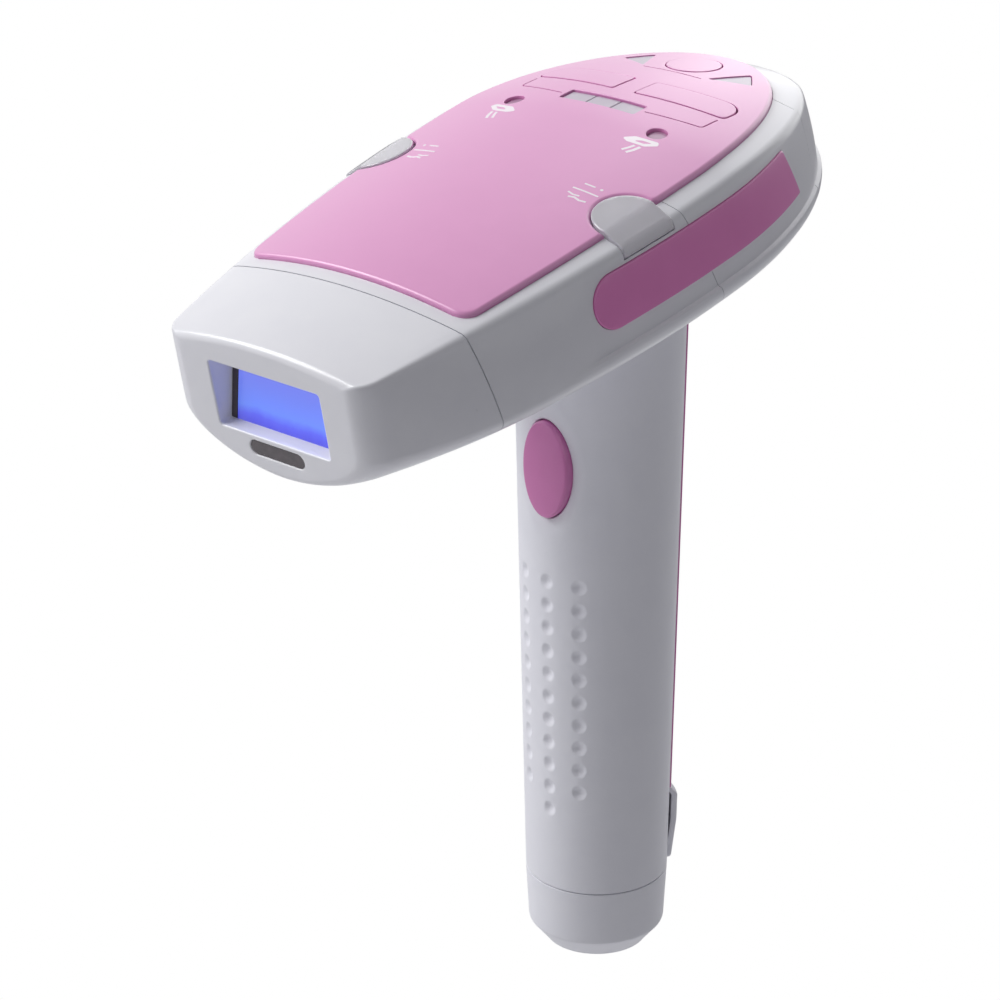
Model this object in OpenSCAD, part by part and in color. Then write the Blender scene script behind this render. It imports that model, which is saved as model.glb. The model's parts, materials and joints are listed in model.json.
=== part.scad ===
/* [Head] */
// Height at which the head's long axis crosses the grip's axis
head_height = 195; // [185:1:205]
// Nose-down pitch of the head against the grip, in degrees
head_pitch = 11.5; // [8:0.5:14]
// Reach of the skin-contact face ahead of the grip's axis
face_reach = 112; // [106:1:118]
// Width of the head from side to side at its fullest
head_w = 91.8; // [88:0.2:98]
// Height of the head's crest above its long axis
crest_h = 22.2; // [21:0.2:25]
// Depth of the head's keel below its long axis
keel_h = 19.6; // [18.6:0.2:22]
// Wall of the moulded casings
wall = 2.4; // [2:0.1:3]
// Reach of the seam between the lamp cartridge and the head, at the shoulder
nose_seam = 84.8; // [83.6:0.2:88]
// Slope of that seam, in degrees
nose_seam_tilt = 9; // [4:1:12]
// Reach of the seam between the front and rear casings, at the shoulder
mid_seam = 21; // [19:0.5:21.5]
// Slope of the seam between the casings, in degrees
mid_seam_tilt = 17; // [10:1:20]
// Distance of the rear cap's seam behind the grip's axis
rear_seam = 35; // [34:0.5:38]
// Gap shown at a seam between fixed pieces
seam_gap = 0.2; // [0.1:0.05:0.4]

/* [Top panel] */
// Width of the top panel at its widest
panel_w = 75; // [72:0.5:78]
// Width of the top panel at its front edge
panel_front_w = 64.8; // [60:0.2:68]
// Distance from the cartridge's seam back to the front edge of the coloured panel
panel_setback = 3.4; // [2.5:0.1:6]
// Reach of the top panel's rear edge behind the grip's axis
panel_rear = 50.2; // [48:0.2:53]
// Thickness of the top panel
panel_t = 2.4; // [2:0.1:3]
// Height of the top panel above the casing around it
panel_proud = 1.2; // [0.6:0.1:1.6]
// Gap around panels, inlays and lenses
fit_gap = 0.15; // [0.1:0.05:0.3]

/* [Grip] */
// Diameter of the grip at its foot
grip_foot_d = 35.2; // [33:0.2:38]
// Diameter of the grip where it enters the head
grip_neck_d = 42; // [40:0.2:44]
// Wall of the grip
grip_wall = 2.4; // [2:0.1:3]
// Height of the seam of the grip's end cap
cap_seam = 15; // [12:0.5:20]
// Height of the bevel at the foot of the end cap
cap_bevel = 5; // [3:0.5:7]
// Height of the trigger's middle
trigger_z = 132; // [128:1:136]
// Width of the trigger
trigger_w = 15.8; // [14:0.2:18]
// Height of the trigger
trigger_h = 23.5; // [21:0.5:26]
// Travel of the trigger
trigger_travel = 2; // [1:0.1:2.5]
// Height of the lower end of the coloured strip on the back of the grip
strip_z = 41.5; // [38:0.5:46]
// Angle that the back strip covers, in degrees
strip_angle = 96; // [80:2:110]
// Height of the back strip above the grip
strip_proud = 1.2; // [0.8:0.1:2]

/* [Hidden] */
white = "#ececf2";
pink = "#de92cf";
eps = 0.01;

// Shape of the head, in its own frame: y runs back from the grip's axis, z up from the long axis
widest_y = -8.8;
crest_y = -3.8;
crest_front_drop = 2.9;
crest_rear_drop = 10.4;
crown = 4.6;
rim_w = 5;
rim_drop = 2.6;
rim_front_share = 0.36;
rear_lean = 7;
face_blend = 44;
side_z = -6.5;
side_z_face = -2;
keel_face_h = 14.3;
keel_rear_lift = 6;
keel_power = 1.7;
rim_fade = 1.3;
keel_fade = 1.5;
shoulder_sink = 0.4;
shoulder_in = 0.8;
shoulder_up = 0.45;
edge_inset = 0.3;
shoulder_inset = 0.7;
wall_start = 0.15;
half_w = panel_w / 2;
panel_front = nose_seam - panel_setback;
flare = head_w / 2 - half_w - rim_w;
taper_y = -20;
top_steps = 4;
side_steps = 4;
keel_steps = 6;

function ease(t) = let (c = max(0, min(1, t))) c * c * (3 - 2 * c);
function square_of(t) = t * t;
function front_share(y) = max(0, (taper_y - y) / (face_reach + taper_y));
function rim_share(y) = 1 - (1 - rim_front_share) * pow(front_share(y), rim_fade);
function flare_share(y) = 1 - square_of(max(0, 1 - (y + face_reach) / face_blend));

// Half width in plan of the panel's edge, and of a line that lies side_add and rear_add outside it
function panel_half(y) = y < widest_y
    ? half_w - (panel_w - panel_front_w) / 2 * square_of((widest_y - y) / (widest_y + panel_front))
    : half_w * sqrt(max(0, 1 - square_of((y - widest_y) / (panel_rear - widest_y))));
function line_half(y, side_add, rear_add) = y < widest_y
    ? panel_half(y) + side_add
    : (half_w + side_add) * sqrt(max(0, 1 - square_of((y - widest_y) / (panel_rear + rear_add - widest_y))));
function shoulder_half(y) = line_half(y, rim_w * rim_share(y), rim_w);
function side_half(y) = line_half(y, rim_w * rim_share(y) + flare * flare_share(y), rim_w + rear_lean);

// Heights of the crest, the panel's surface, the shoulder, the fullest line and the keel
function crest(y) = crest_h - (y < crest_y
    ? crest_front_drop * square_of((crest_y - y) / (crest_y + panel_front))
    : crest_rear_drop * square_of((y - crest_y) / (panel_rear - crest_y)));
function panel_z(x, y) = crest(y) - crown * square_of(x / half_w);
function edge_z(y) = panel_z(panel_half(y), y);
function shoulder_z(y) = edge_z(y) - rim_drop * rim_share(y) - panel_proud * shoulder_sink;
function fullest_z(y) = side_z + (side_z_face - side_z) * (1 - flare_share(y));
function keel_z(y) = -keel_h + (keel_h - keel_face_h) * pow(front_share(y), keel_fade)
    + keel_rear_lift * square_of(max(0, y) / (panel_rear + rim_w + rear_lean));

// One half of the head's section at y, from the crest to the keel, set in by inset
function section_point(i, y, inset) =
    let (edge = panel_half(y), shoulder = shoulder_half(y) - inset, full = side_half(y) - inset,
         low = fullest_z(y), keel = keel_z(y) + inset, high = shoulder_z(y) - inset * shoulder_inset)
    i <= top_steps
        ? let (x = (edge - inset * edge_inset) * i / top_steps) [x, panel_z(x, y) - panel_proud - inset]
        : i == top_steps + 1
        ? [shoulder - shoulder_in * rim_share(y), high + shoulder_up * rim_share(y)]
        : i <= top_steps + 2 + side_steps
        ? let (q = 1 - (i - top_steps - 2 + wall_start) / (side_steps + wall_start))
          [full - (full - shoulder) * q * q, low + (high - low) * q]
        : let (t = 90 * (i - top_steps - 2 - side_steps) / keel_steps)
          [full * pow(max(0, cos(t)), 2 / keel_power), low - (low - keel) * pow(sin(t), 2 / keel_power)];
half_points = top_steps + 2 + side_steps + keel_steps;
ring_points = 2 * half_points;

// A whole ring of the section, in a plane that leans back by tilt below the shoulder's height
tilt_z = 15;
function leaning_point(i, y, tilt, inset) =
    let (lean = tan(tilt), first = section_point(i, y, inset),
         second = section_point(i, y + lean * (tilt_z - first[1]), inset))
    [second[0], y + lean * (tilt_z - second[1]), second[1]];
function ring(y, tilt, inset) = [
    for (k = [0 : ring_points - 1])
        let (i = k <= half_points ? k : ring_points - k, p = leaning_point(i, y, tilt, inset))
        [k <= half_points ? p[0] : -p[0], p[1], p[2]]
];

// Closed shell between outer rings and inner rings, with its front left open or closed by a face
module ring_shell(outer, inner, closed_front) {
    n = len(outer[0]);
    a = len(outer);
    b = len(inner);
    base = a * n;
    points = [for (r = concat(outer, inner)) for (p = r) p];
    outside = [for (j = [0 : a - 2]) for (i = [0 : n - 1]) let (k = (i + 1) % n)
        [j * n + i, (j + 1) * n + i, (j + 1) * n + k, j * n + k]];
    inside = [for (j = [0 : b - 2]) for (i = [0 : n - 1]) let (k = (i + 1) % n)
        [base + j * n + i, base + j * n + k, base + (j + 1) * n + k, base + (j + 1) * n + i]];
    front = closed_front
        ? [[for (i = [0 : n - 1]) i], [for (i = [n - 1 : -1 : 0]) base + i]]
        : [for (i = [0 : n - 1]) let (k = (i + 1) % n) [i, k, base + k, base + i]];
    o = (a - 1) * n;
    q = base + (b - 1) * n;
    rear = [for (i = [0 : n - 1]) let (k = (i + 1) % n) [o + k, o + i, q + i, q + k]];
    polyhedron(points, concat(outside, inside, front, rear), convexity = 8);
}

module head() {
    translate([0, 0, head_height])
        rotate([head_pitch, 0, 0])
            children();
}

// Rings of a casing between two seams
function casing_rings(from_y, from_tilt, to_y, to_tilt, steps, inset) = [
    for (j = [0 : steps]) let (t = j / steps)
        ring(from_y + (to_y - from_y) * t, from_tilt + (to_tilt - from_tilt) * t, inset)
];

// Closed slab on a curved surface: lift(a, b, d) places the point (a, b) at the height d above it,
// with a, b and d in right-hand order.
// It runs over the stations, between low(a) and high(a), from height bottom to height top.
module slab(stations, low, high, lift, bottom, top, steps) {
    n = steps + 1;
    m = len(stations);
    layer = function (d) [for (a = stations) for (i = [0 : steps])
        lift(a, low(a) + (high(a) - low(a)) * i / steps, d)];
    points = concat(layer(top), layer(bottom));
    base = m * n;
    above = [for (j = [0 : m - 2]) for (i = [0 : steps - 1])
        [j * n + i, j * n + i + 1, (j + 1) * n + i + 1, (j + 1) * n + i]];
    below = [for (f = above) [base + f[3], base + f[2], base + f[1], base + f[0]]];
    border = concat(
        [for (j = [0 : m - 2]) j * n],
        [for (i = [0 : steps - 1]) (m - 1) * n + i],
        [for (j = [m - 1 : -1 : 1]) j * n + steps],
        [for (i = [steps : -1 : 1]) i]);
    count = len(border);
    sides = [for (k = [0 : count - 1]) let (p = border[k], q = border[(k + 1) % count])
        [p, q, base + q, base + p]];
    polyhedron(points, concat(above, below, sides), convexity = 6);
}

// Stations from a to b, closer together towards both ends
function stations(a, b, count) = [for (j = [0 : count]) a + (b - a) * (1 - cos(180 * j / count)) / 2];

// Coloured panel on top of the head, grown by grow for the pocket that it lies in
panel_corner = 3.5;
panel_tip = 0.4;
panel_count = 18;
panel_cross = 6;
function corner_cut(away, radius) = away >= radius
    ? 0
    : radius - sqrt(max(0, square_of(radius) - square_of(radius - away)));
function panel_edge(y) = max(panel_tip, panel_half(y) - corner_cut(y + panel_front, panel_corner));
module panel_slab(bottom, top, grow) {
    rear_end = panel_rear - panel_tip / 4;
    within = function (y) max(-panel_front, min(rear_end, y));
    slab([for (y = stations(-panel_front, rear_end, panel_count))
            y <= -panel_front ? y - grow : y >= rear_end ? y + grow : y],
        function (y) -panel_edge(within(y)) - grow,
        function (y) panel_edge(within(y)) + grow,
        function (y, b, d) [-b, y, panel_z(b, y) + d], bottom, top, panel_cross);
}
pocket_open = 6;
module panel_pocket() {
    panel_slab(-panel_t - fit_gap, pocket_open, fit_gap);
}

// Clear ready-light lens: a half disc in the panel that folds over the shoulder and down the side
lens_y = -32.2;
lens_r = 8.7;
lens_t = 1.6;
lens_proud = 0.3;
lens_fold = 5.4;
lens_turn = 5;
lens_out = 0.6;
lens_tip = 0.1;
lens_foot = 1.1;
notch_gap = 0.45;
lens_count = 10;
lens_cross = 8;
function side_x(y, z) = let (low = fullest_z(y), high = shoulder_z(y), q = (z - low) / (high - low))
    side_half(y) - (side_half(y) - shoulder_half(y)) * q * q;
function lens_point(y, b, d) = let (edge = panel_half(y), z = edge_z(y), fold = min(1, b / lens_fold))
    b <= 0
    ? [edge + b, y, panel_z(edge + b, y) + d]
    : b <= lens_fold
    ? [edge + (shoulder_half(y) - edge) * fold + d * lens_out * fold, y,
       z + (shoulder_z(y) - z) * fold + d * (1 - (1 - lens_out) * fold)]
    : let (w = shoulder_z(y) - b + lens_fold, turn = max(0, 1 - (b - lens_fold) / lens_turn))
      [side_x(y, w) + d * (1 - (1 - lens_out) * turn), y, w + d * lens_out * turn];
function lens_flap() = shoulder_z(lens_y - lens_r) - inlay_top - lens_foot;
module lens_slab(bottom, top, grow) {
    r = lens_r + grow;
    slab([for (j = [0 : lens_count]) lens_y - r * cos(180 * j / lens_count)],
        function (y) -lens_fold - lens_flap() - grow,
        function (y) sqrt(max(square_of(lens_tip), square_of(r) - square_of(y - lens_y))),
        function (y, b, d) lens_point(y, -b, d), bottom, top, lens_cross);
}
module lens_pocket() {
    for (side = [0, 1])
        mirror([side, 0, 0])
            lens_slab(-lens_t - 2 * fit_gap, pocket_open, 2 * fit_gap);
}

// Coloured inlay along each side of the head
inlay_front = 52;
inlay_rear = 19;
inlay_top = 9.6;
inlay_bottom = -5.2;
inlay_slant = 0.42;
inlay_t = 1.5;
inlay_proud = 0.5;
inlay_tip = 0.06;
inlay_count = 16;
inlay_cross = 4;
inlay_mid = (inlay_top + inlay_bottom) / 2;
inlay_half = (inlay_top - inlay_bottom) / 2;
function inlay_reach(y) = let (away = (y + inlay_front) / inlay_half)
    away >= 1 ? inlay_half : inlay_half * sqrt(max(square_of(inlay_tip), 1 - square_of(1 - max(0, away))));
module inlay_slab(bottom, top, grow) {
    slab(stations(-inlay_front - grow, inlay_rear + grow, inlay_count),
        function (y) inlay_mid - inlay_reach(y) - grow,
        function (y) inlay_mid + inlay_reach(y) + grow,
        function (y, z, d) let (share = ease((y + inlay_front) / (inlay_front + inlay_rear)),
            back = y - inlay_slant * share * (z - inlay_mid)) [side_x(back, z) + d, back, z],
        bottom, top, inlay_cross);
}
module inlay_pockets() {
    for (side = [0, 1])
        mirror([side, 0, 0])
            inlay_slab(-inlay_t + inlay_proud - fit_gap, pocket_open, fit_gap);
}

// Grip: a cone about the upright axis
neck_drop = 11;
strip_drop = 16;
socket_drop = 30;
neck_top = head_height - neck_drop;
strip_top = head_height - strip_drop;
function grip_r(z) = grip_foot_d / 2
    + (grip_neck_d - grip_foot_d) / 2 * (z - cap_seam) / (strip_top - cap_seam);
module grip_cone(from_z, to_z, add) {
    translate([0, 0, from_z])
        cylinder(h = to_z - from_z, r1 = grip_r(from_z) + add, r2 = grip_r(to_z) + add, $fn = 96);
}
neck_low = head_height - socket_drop;
module neck_hole() {
    grip_cone(neck_low, neck_top + pocket_open, fit_gap);
}

// Lamp cartridge's shell
face_round = 1.6;
round_share = 0.3;
face_t = 3;
cartridge_gap = 0.3;
nose_steps = 5;
function nose_rings(inset, front_y) = casing_rings(front_y, 0, -nose_seam - cartridge_gap,
    nose_seam_tilt, nose_steps, inset);
window_w = 33;
window_h = 16;
window_z = 0.5;
window_draft = 1.5;
frame_w = 36;
frame_h = 19.4;
frame_y = -face_reach + face_t - 1;
frame_deep = 4.6;
sensor_w = 16;
sensor_h = 3.4;
sensor_z = -10.6;
sensor_sunk = 0.3;
module sensor_plan(grow) {
    for (side = [-1, 1])
        translate([side * (sensor_w - sensor_h) / 2, sensor_z])
            circle(sensor_h / 2 + grow, $fn = 40);
    translate([-(sensor_w - sensor_h) / 2, sensor_z - sensor_h / 2 - grow])
        square([sensor_w - sensor_h, sensor_h + 2 * grow]);
}
// Four-sided funnel of the flash window, wide at the face
module window_funnel() {
    depth = face_t - 1 + frame_deep + 2 * eps;
    near = [window_w / 2, window_h / 2];
    far = [window_w / 2 - window_draft, window_h / 2 - window_draft];
    corner = function (half, y) [for (s = [[-1, -1], [1, -1], [1, 1], [-1, 1]])
        [s[0] * half[0], y, window_z + s[1] * half[1]]];
    polyhedron(concat(corner(near, -face_reach - eps), corner(far, -face_reach - eps + depth)),
        [[3, 2, 1, 0], [4, 5, 6, 7], [0, 1, 5, 4], [1, 2, 6, 5], [2, 3, 7, 6], [3, 0, 4, 7]]);
}
module nose_shell() {
    outer = concat(
        [ring(-face_reach, 0, face_round),
         ring(-face_reach + face_round * round_share, 0, face_round * round_share)],
        nose_rings(0, -face_reach + face_round));
    color(white)
        head()
            difference() {
                union() {
                    ring_shell(outer, nose_rings(wall, -face_reach + face_t), true);
                    translate([-frame_w / 2, frame_y, window_z - frame_h / 2])
                        cube([frame_w, frame_deep, frame_h]);
                }
                window_funnel();
                translate([0, -face_reach + 2 * face_t, 0])
                    rotate([90, 0, 0])
                        linear_extrude(3 * face_t)
                            sensor_plan(fit_gap);
            }
}

// Front casing of the head
front_steps = 7;
function front_rings(inset) = casing_rings(-nose_seam, nose_seam_tilt, -mid_seam - seam_gap, mid_seam_tilt,
    front_steps, inset);
module front_casing() {
    color(white)
        difference() {
            head() {
                difference() {
                    ring_shell(front_rings(0), front_rings(wall), false);
                    panel_pocket();
                    lens_pocket();
                    inlay_pockets();
                }
                both_sides()
                    board_post(board_posts[0]);
            }
            neck_hole();
        }
}

// Rear casing of the head
rear_steps = 8;
function rear_rings(inset) = casing_rings(-mid_seam, mid_seam_tilt, rear_seam - seam_gap, 0,
    rear_steps, inset);
module rear_casing() {
    color(white)
        difference() {
            head() {
                difference() {
                    ring_shell(rear_rings(0), rear_rings(wall), false);
                    panel_pocket();
                    inlay_pockets();
                    both_sides()
                        stem_hole(stem_x, stem_y);
                }
                both_sides()
                    board_post(board_posts[1]);
            }
            neck_hole();
        }
}

// Rear cap: level lines that run round the back of the head, one inside the other
cap_arc = 16;
slot_w = 30;
slot_h = 2.2;
slot_pitch = 4.6;
slot_count = 4;
slot_shift = 0.5;
function round_line(side_w, rear_y) =
    let (long = rear_y - widest_y, from = asin((rear_seam - widest_y) / long))
    [for (k = [0 : cap_arc]) let (a = from + (180 - 2 * from) * k / cap_arc)
        [side_w * cos(a), widest_y + long * sin(a)]];
function shrunk(line, share) = [for (p = line) [p[0] * share, rear_seam + (p[1] - rear_seam) * share]];
function blended(a, b, t) = [for (k = [0 : len(a) - 1]) a[k] + (b[k] - a[k]) * t];
function cap_level(i, inset) =
    let (edge = round_line(half_w - inset * edge_inset, panel_rear - inset * edge_inset),
         shoulder = round_line(half_w + rim_w - inset, panel_rear + rim_w - inset),
         full = round_line(head_w / 2 - inset, panel_rear + rim_w + rear_lean - inset))
    i <= top_steps
        ? [for (p = shrunk(edge, i / top_steps)) [p[0], p[1], panel_z(p[0], p[1]) - panel_proud - inset]]
        : i <= top_steps + 2 + side_steps
        ? let (q = min(1, 1 - (i - top_steps - 2 + wall_start) / (side_steps + wall_start)))
          [for (k = [0 : cap_arc]) let (p = full[k] - (full[k] - shoulder[k]) * q * q,
              high = shoulder_z(shoulder[k][1]) - inset * shoulder_inset)
              [p[0], p[1], side_z + (high - side_z) * q]]
        : let (t = 90 * (i - top_steps - 2 - side_steps) / keel_steps,
               share = pow(max(0, cos(t)), 2 / keel_power))
          [for (p = shrunk(full, share)) [p[0], p[1],
              side_z - (side_z - keel_z(p[1]) - inset) * pow(sin(t), 2 / keel_power)]];

// Solid bounded by the rear cap's level lines and the plane of its seam
module cap_solid(inset) {
    levels = [for (i = [1 : half_points - 1]) cap_level(i, inset)];
    n = cap_arc + 1;
    m = len(levels);
    crest_point = [0, rear_seam, panel_z(0, rear_seam) - panel_proud - inset];
    keel_point = [0, rear_seam, keel_z(rear_seam) + inset];
    points = concat([for (line = levels) for (p = line) p], [crest_point, keel_point]);
    top_id = m * n;
    bands = [for (j = [0 : m - 2]) for (k = [0 : n - 2])
        [j * n + k, j * n + k + 1, (j + 1) * n + k + 1, (j + 1) * n + k]];
    top_fan = [for (k = [0 : n - 2]) [top_id, k + 1, k]];
    low_fan = [for (k = [0 : n - 2]) [top_id + 1, (m - 1) * n + k, (m - 1) * n + k + 1]];
    seam = [concat([top_id], [for (j = [0 : m - 1]) j * n], [top_id + 1],
        [for (j = [m - 1 : -1 : 0]) j * n + n - 1])];
    polyhedron(points, concat(bands, top_fan, low_fan, seam), convexity = 6);
}
module rear_cap() {
    color(white)
        head()
            difference() {
                cap_solid(0);
                translate([0, -eps, 0])
                    cap_solid(wall);
                panel_pocket();
                stem_hole(0, power_y);
                for (i = [0 : slot_count - 1])
                    translate([-slot_w / 2, rear_seam, side_z + slot_pitch * (i - slot_shift)])
                        cube([slot_w, panel_rear + rear_lean, slot_h]);
            }
}

// Controls on the top panel
button_in = 3.3;
button_out = 29;
button_front = 12;
button_rear = 20.5;
button_round = 6;
power_y = 38.2;
power_d = 16;
status_x = 21.3;
status_y = -2;
status_d = 4.6;
level_y = 4.8;
level_w = 22;
level_d = 5;
mode_tip = 10.5;
mode_out = 22;
mode_y = 33;
mode_wide = 4.4;
button_travel = 0.8;
button_gap = 0.35;
button_proud = 0.2;
button_t = 1.6;
stem_d = 4;
stem_bite = 0.6;

// Plan outlines of the controls, grown by grow
module button_plan(grow) {
    translate([button_in - grow, button_front - grow])
        difference() {
            square([button_out - button_in + 2 * grow, button_rear - button_front + 2 * grow]);
            translate([button_out - button_in + 2 * grow - button_round,
                       button_rear - button_front + 2 * grow - button_round])
                difference() {
                    square(button_round + 1);
                    circle(button_round, $fn = 48);
                }
        }
}
module power_plan(grow) {
    translate([0, power_y])
        circle(power_d / 2 + grow, $fn = 64);
}
module status_plan(grow) {
    translate([status_x, status_y])
        circle(status_d / 2 + grow, $fn = 40);
}
module level_plan(grow) {
    translate([-level_w / 2 - grow, level_y - level_d / 2 - grow])
        square([level_w + 2 * grow, level_d + 2 * grow]);
}
module mode_plan(grow) {
    polygon([[mode_tip - 2 * grow, mode_y], [mode_out + grow, mode_y - mode_wide / 2 - grow],
        [mode_out + grow, mode_y + mode_wide / 2 + grow]]);
}
// Shallow grooves that frame the keys, as lines in plan
groove_w = 0.4;
groove_deep = 0.5;
groove_front = 4.5;
groove_bend = [28.4, 4.2];
groove_end = [30.6, 9.4];
groove_rear = 28.6;
groove_reach = 12;
module groove_line(from, to) {
    hull()
        for (p = [from, to])
            translate(p)
                circle(d = groove_w, $fn = 8);
}
module front_groove_plan() {
    groove_line([level_w / 2 + 1, groove_front], groove_bend);
    groove_line(groove_bend, groove_end);
}
module rear_groove_plan() {
    groove_line([-groove_reach, groove_rear], [groove_reach, groove_rear]);
}
tall = 60;
module through(bottom) {
    translate([0, 0, bottom])
        linear_extrude(tall)
            children();
}
module both_sides() {
    for (side = [0, 1])
        mirror([side, 0, 0])
            children();
}
module top_panel() {
    color(pink)
        head()
            difference() {
                panel_slab(-panel_t, 0, 0);
                both_sides()
                    through(0) {
                        button_plan(button_gap);
                        status_plan(fit_gap);
                        mode_plan(fit_gap);
                    }
                through(0) {
                    power_plan(button_gap);
                    level_plan(fit_gap);
                }
                both_sides()
                    translate([panel_half(lens_y), lens_y, 0])
                        cylinder(h = tall, r = lens_r + notch_gap, $fn = 64);
                both_sides()
                    panel_piece([level_w / 2, groove_front - 2], [groove_end[0] + 2, groove_end[1] + 1],
                        -groove_deep, 1)
                        front_groove_plan();
                panel_piece([-groove_reach - 1, groove_rear - 1], [groove_reach + 1, groove_rear + 1],
                    -groove_deep, 1)
                    rear_groove_plan();
            }
}

// Piece of the panel's own curved layer, over a rectangle of it, cut out by a plan outline
patch_steps = 4;
module panel_piece(low, high, bottom, top) {
    intersection() {
        slab([for (j = [0 : patch_steps]) low[1] + (high[1] - low[1]) * j / patch_steps],
            function (y) -high[0],
            function (y) -low[0],
            function (y, b, d) [-b, y, panel_z(b, y) + d], bottom, top, patch_steps);
        through(0)
            children();
    }
}
// Flat-topped lens in the panel, from its nearest to its farthest half width
lens_sunk = 0.2;
module panel_lens(near, far, y) {
    low = panel_z(near, y) - panel_t;
    translate([0, 0, low])
        linear_extrude(panel_z(far, y) - lens_sunk - low)
            children();
}
board_z = 6;
board_t = 1.6;
switch_h = 3.5;
stem_foot = board_z + switch_h + button_travel + button_gap;
module stem(x, y) {
    translate([x, y, stem_foot])
        cylinder(h = panel_z(x, y) - button_t - stem_foot + button_proud + stem_bite, d = stem_d, $fn = 32);
}
module stem_hole(x, y) {
    translate([x, y, 0])
        cylinder(h = tall, d = stem_d + 2 * button_gap, $fn = 32);
}
stem_x = (button_in + button_out) / 2;
stem_y = (button_front + button_rear) / 2;
module key_button() {
    panel_piece([button_in - 1, button_front - 1], [button_out + 1, button_rear + 1],
        button_proud - button_t, button_proud)
        button_plan(0);
    stem(stem_x, stem_y);
}
module right_button() {
    color(pink)
        head()
            key_button();
}
module left_button() {
    color(pink)
        head()
            mirror([1, 0, 0])
                key_button();
}
module power_button() {
    reach = power_d / 2 + 1;
    color(pink)
        head() {
            panel_piece([-reach, power_y - reach], [reach, power_y + reach],
                button_proud - button_t, button_proud)
                power_plan(0);
            stem(0, power_y);
        }
}
module status_lens() {
    head()
        panel_lens(status_x - status_d / 2, status_x + status_d / 2, status_y)
            status_plan(0);
}
module status_lens_right() {
    color("silver")
        status_lens();
}
module status_lens_left() {
    color("silver")
        mirror([1, 0, 0])
            status_lens();
}
module level_window() {
    color("silver")
        head()
            panel_lens(0, level_w / 2, level_y)
                level_plan(0);
}
module mode_lens() {
    head()
        panel_piece([mode_tip - 1, mode_y - mode_wide], [mode_out + 1, mode_y + mode_wide],
            -panel_t, -lens_sunk)
            mode_plan(0);
}
module mode_lens_right() {
    color("silver")
        mode_lens();
}
module mode_lens_left() {
    color("silver")
        mirror([1, 0, 0])
            mode_lens();
}
module ready_lens_right() {
    color("lightgrey")
        head()
            lens_slab(-lens_t, lens_proud, 0);
}
module ready_lens_left() {
    color("lightgrey")
        head()
            mirror([1, 0, 0])
                lens_slab(-lens_t, lens_proud, 0);
}
module side_inlay_right() {
    color(pink)
        head()
            inlay_slab(inlay_proud - inlay_t, inlay_proud, 0);
}
module side_inlay_left() {
    color(pink)
        head()
            mirror([1, 0, 0])
                inlay_slab(inlay_proud - inlay_t, inlay_proud, 0);
}

// Grip shell with its thumb dimples, the trigger's opening and the boss below the back strip
dimple_r = 2.2;
dimple_rise = 1.4;
dimple_top = 103;
dimple_pitch = 6.13;
dimple_rows = 10;
dimple_turn = 29;
strip_sunk = 0.8;
boss_proud = 2.6;
boss_low = 18;
boss_flat = 29;
boss_share = 0.8;
trigger_gap = 0.3;
oval_points = 48;
module oval(w, h) {
    polygon([for (k = [0 : oval_points - 1]) let (a = 360 * k / oval_points)
        [w / 2 * cos(a), h / 2 * sin(a)]]);
}
// Oval block that runs forward from y
module oval_block(w, h, y, long) {
    translate([0, y, trigger_z])
        rotate([90, 0, 0])
            linear_extrude(long)
                oval(w, h);
}
module back_sector(angle, profile) {
    rotate([0, 0, 90 - angle / 2])
        rotate_extrude(angle = angle, $fn = 96)
            polygon(profile);
}
module strip_sector(sunk, proud, grow) {
    back_sector(strip_angle + 2 * grow, [
        [grip_r(strip_z) - sunk, strip_z - grow], [grip_r(strip_z) + proud, strip_z - grow],
        [grip_r(strip_top) + proud, strip_top + grow], [grip_r(strip_top) - sunk, strip_top + grow]]);
}
module dimple(turn, z) {
    rotate([0, 0, turn])
        translate([0, -grip_r(z) - dimple_rise, z])
            sphere(dimple_r, $fn = 32);
}
module handle_shell() {
    color(white)
        difference() {
            union() {
                grip_cone(cap_seam + seam_gap, neck_top, 0);
                back_sector(strip_angle * boss_share, [
                    [grip_r(boss_low) - 1, boss_low], [grip_r(boss_low) + boss_proud / 3, boss_low],
                    [grip_r(boss_flat) + boss_proud, boss_flat],
                    [grip_r(strip_z) + boss_proud, strip_z - boss_proud],
                    [grip_r(strip_z) + strip_proud, strip_z - fit_gap],
                    [grip_r(strip_z) - 1, strip_z - fit_gap]]);
            }
            grip_cone(cap_seam - 1, neck_top + 1, -grip_wall);
            strip_sector(strip_sunk + fit_gap, pocket_open, fit_gap);
            oval_block(trigger_w + 2 * trigger_gap, trigger_h + 2 * trigger_gap, -grip_foot_d / 4, tall);
            for (row = [0 : dimple_rows])
                dimple(0, dimple_top - dimple_pitch * row);
            for (row = [0 : dimple_rows - 1])
                for (turn = [-dimple_turn, dimple_turn])
                    dimple(turn, dimple_top - dimple_pitch * row);
        }
}
module handle_back_strip() {
    color(pink)
        strip_sector(strip_sunk, strip_proud, 0);
}

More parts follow.
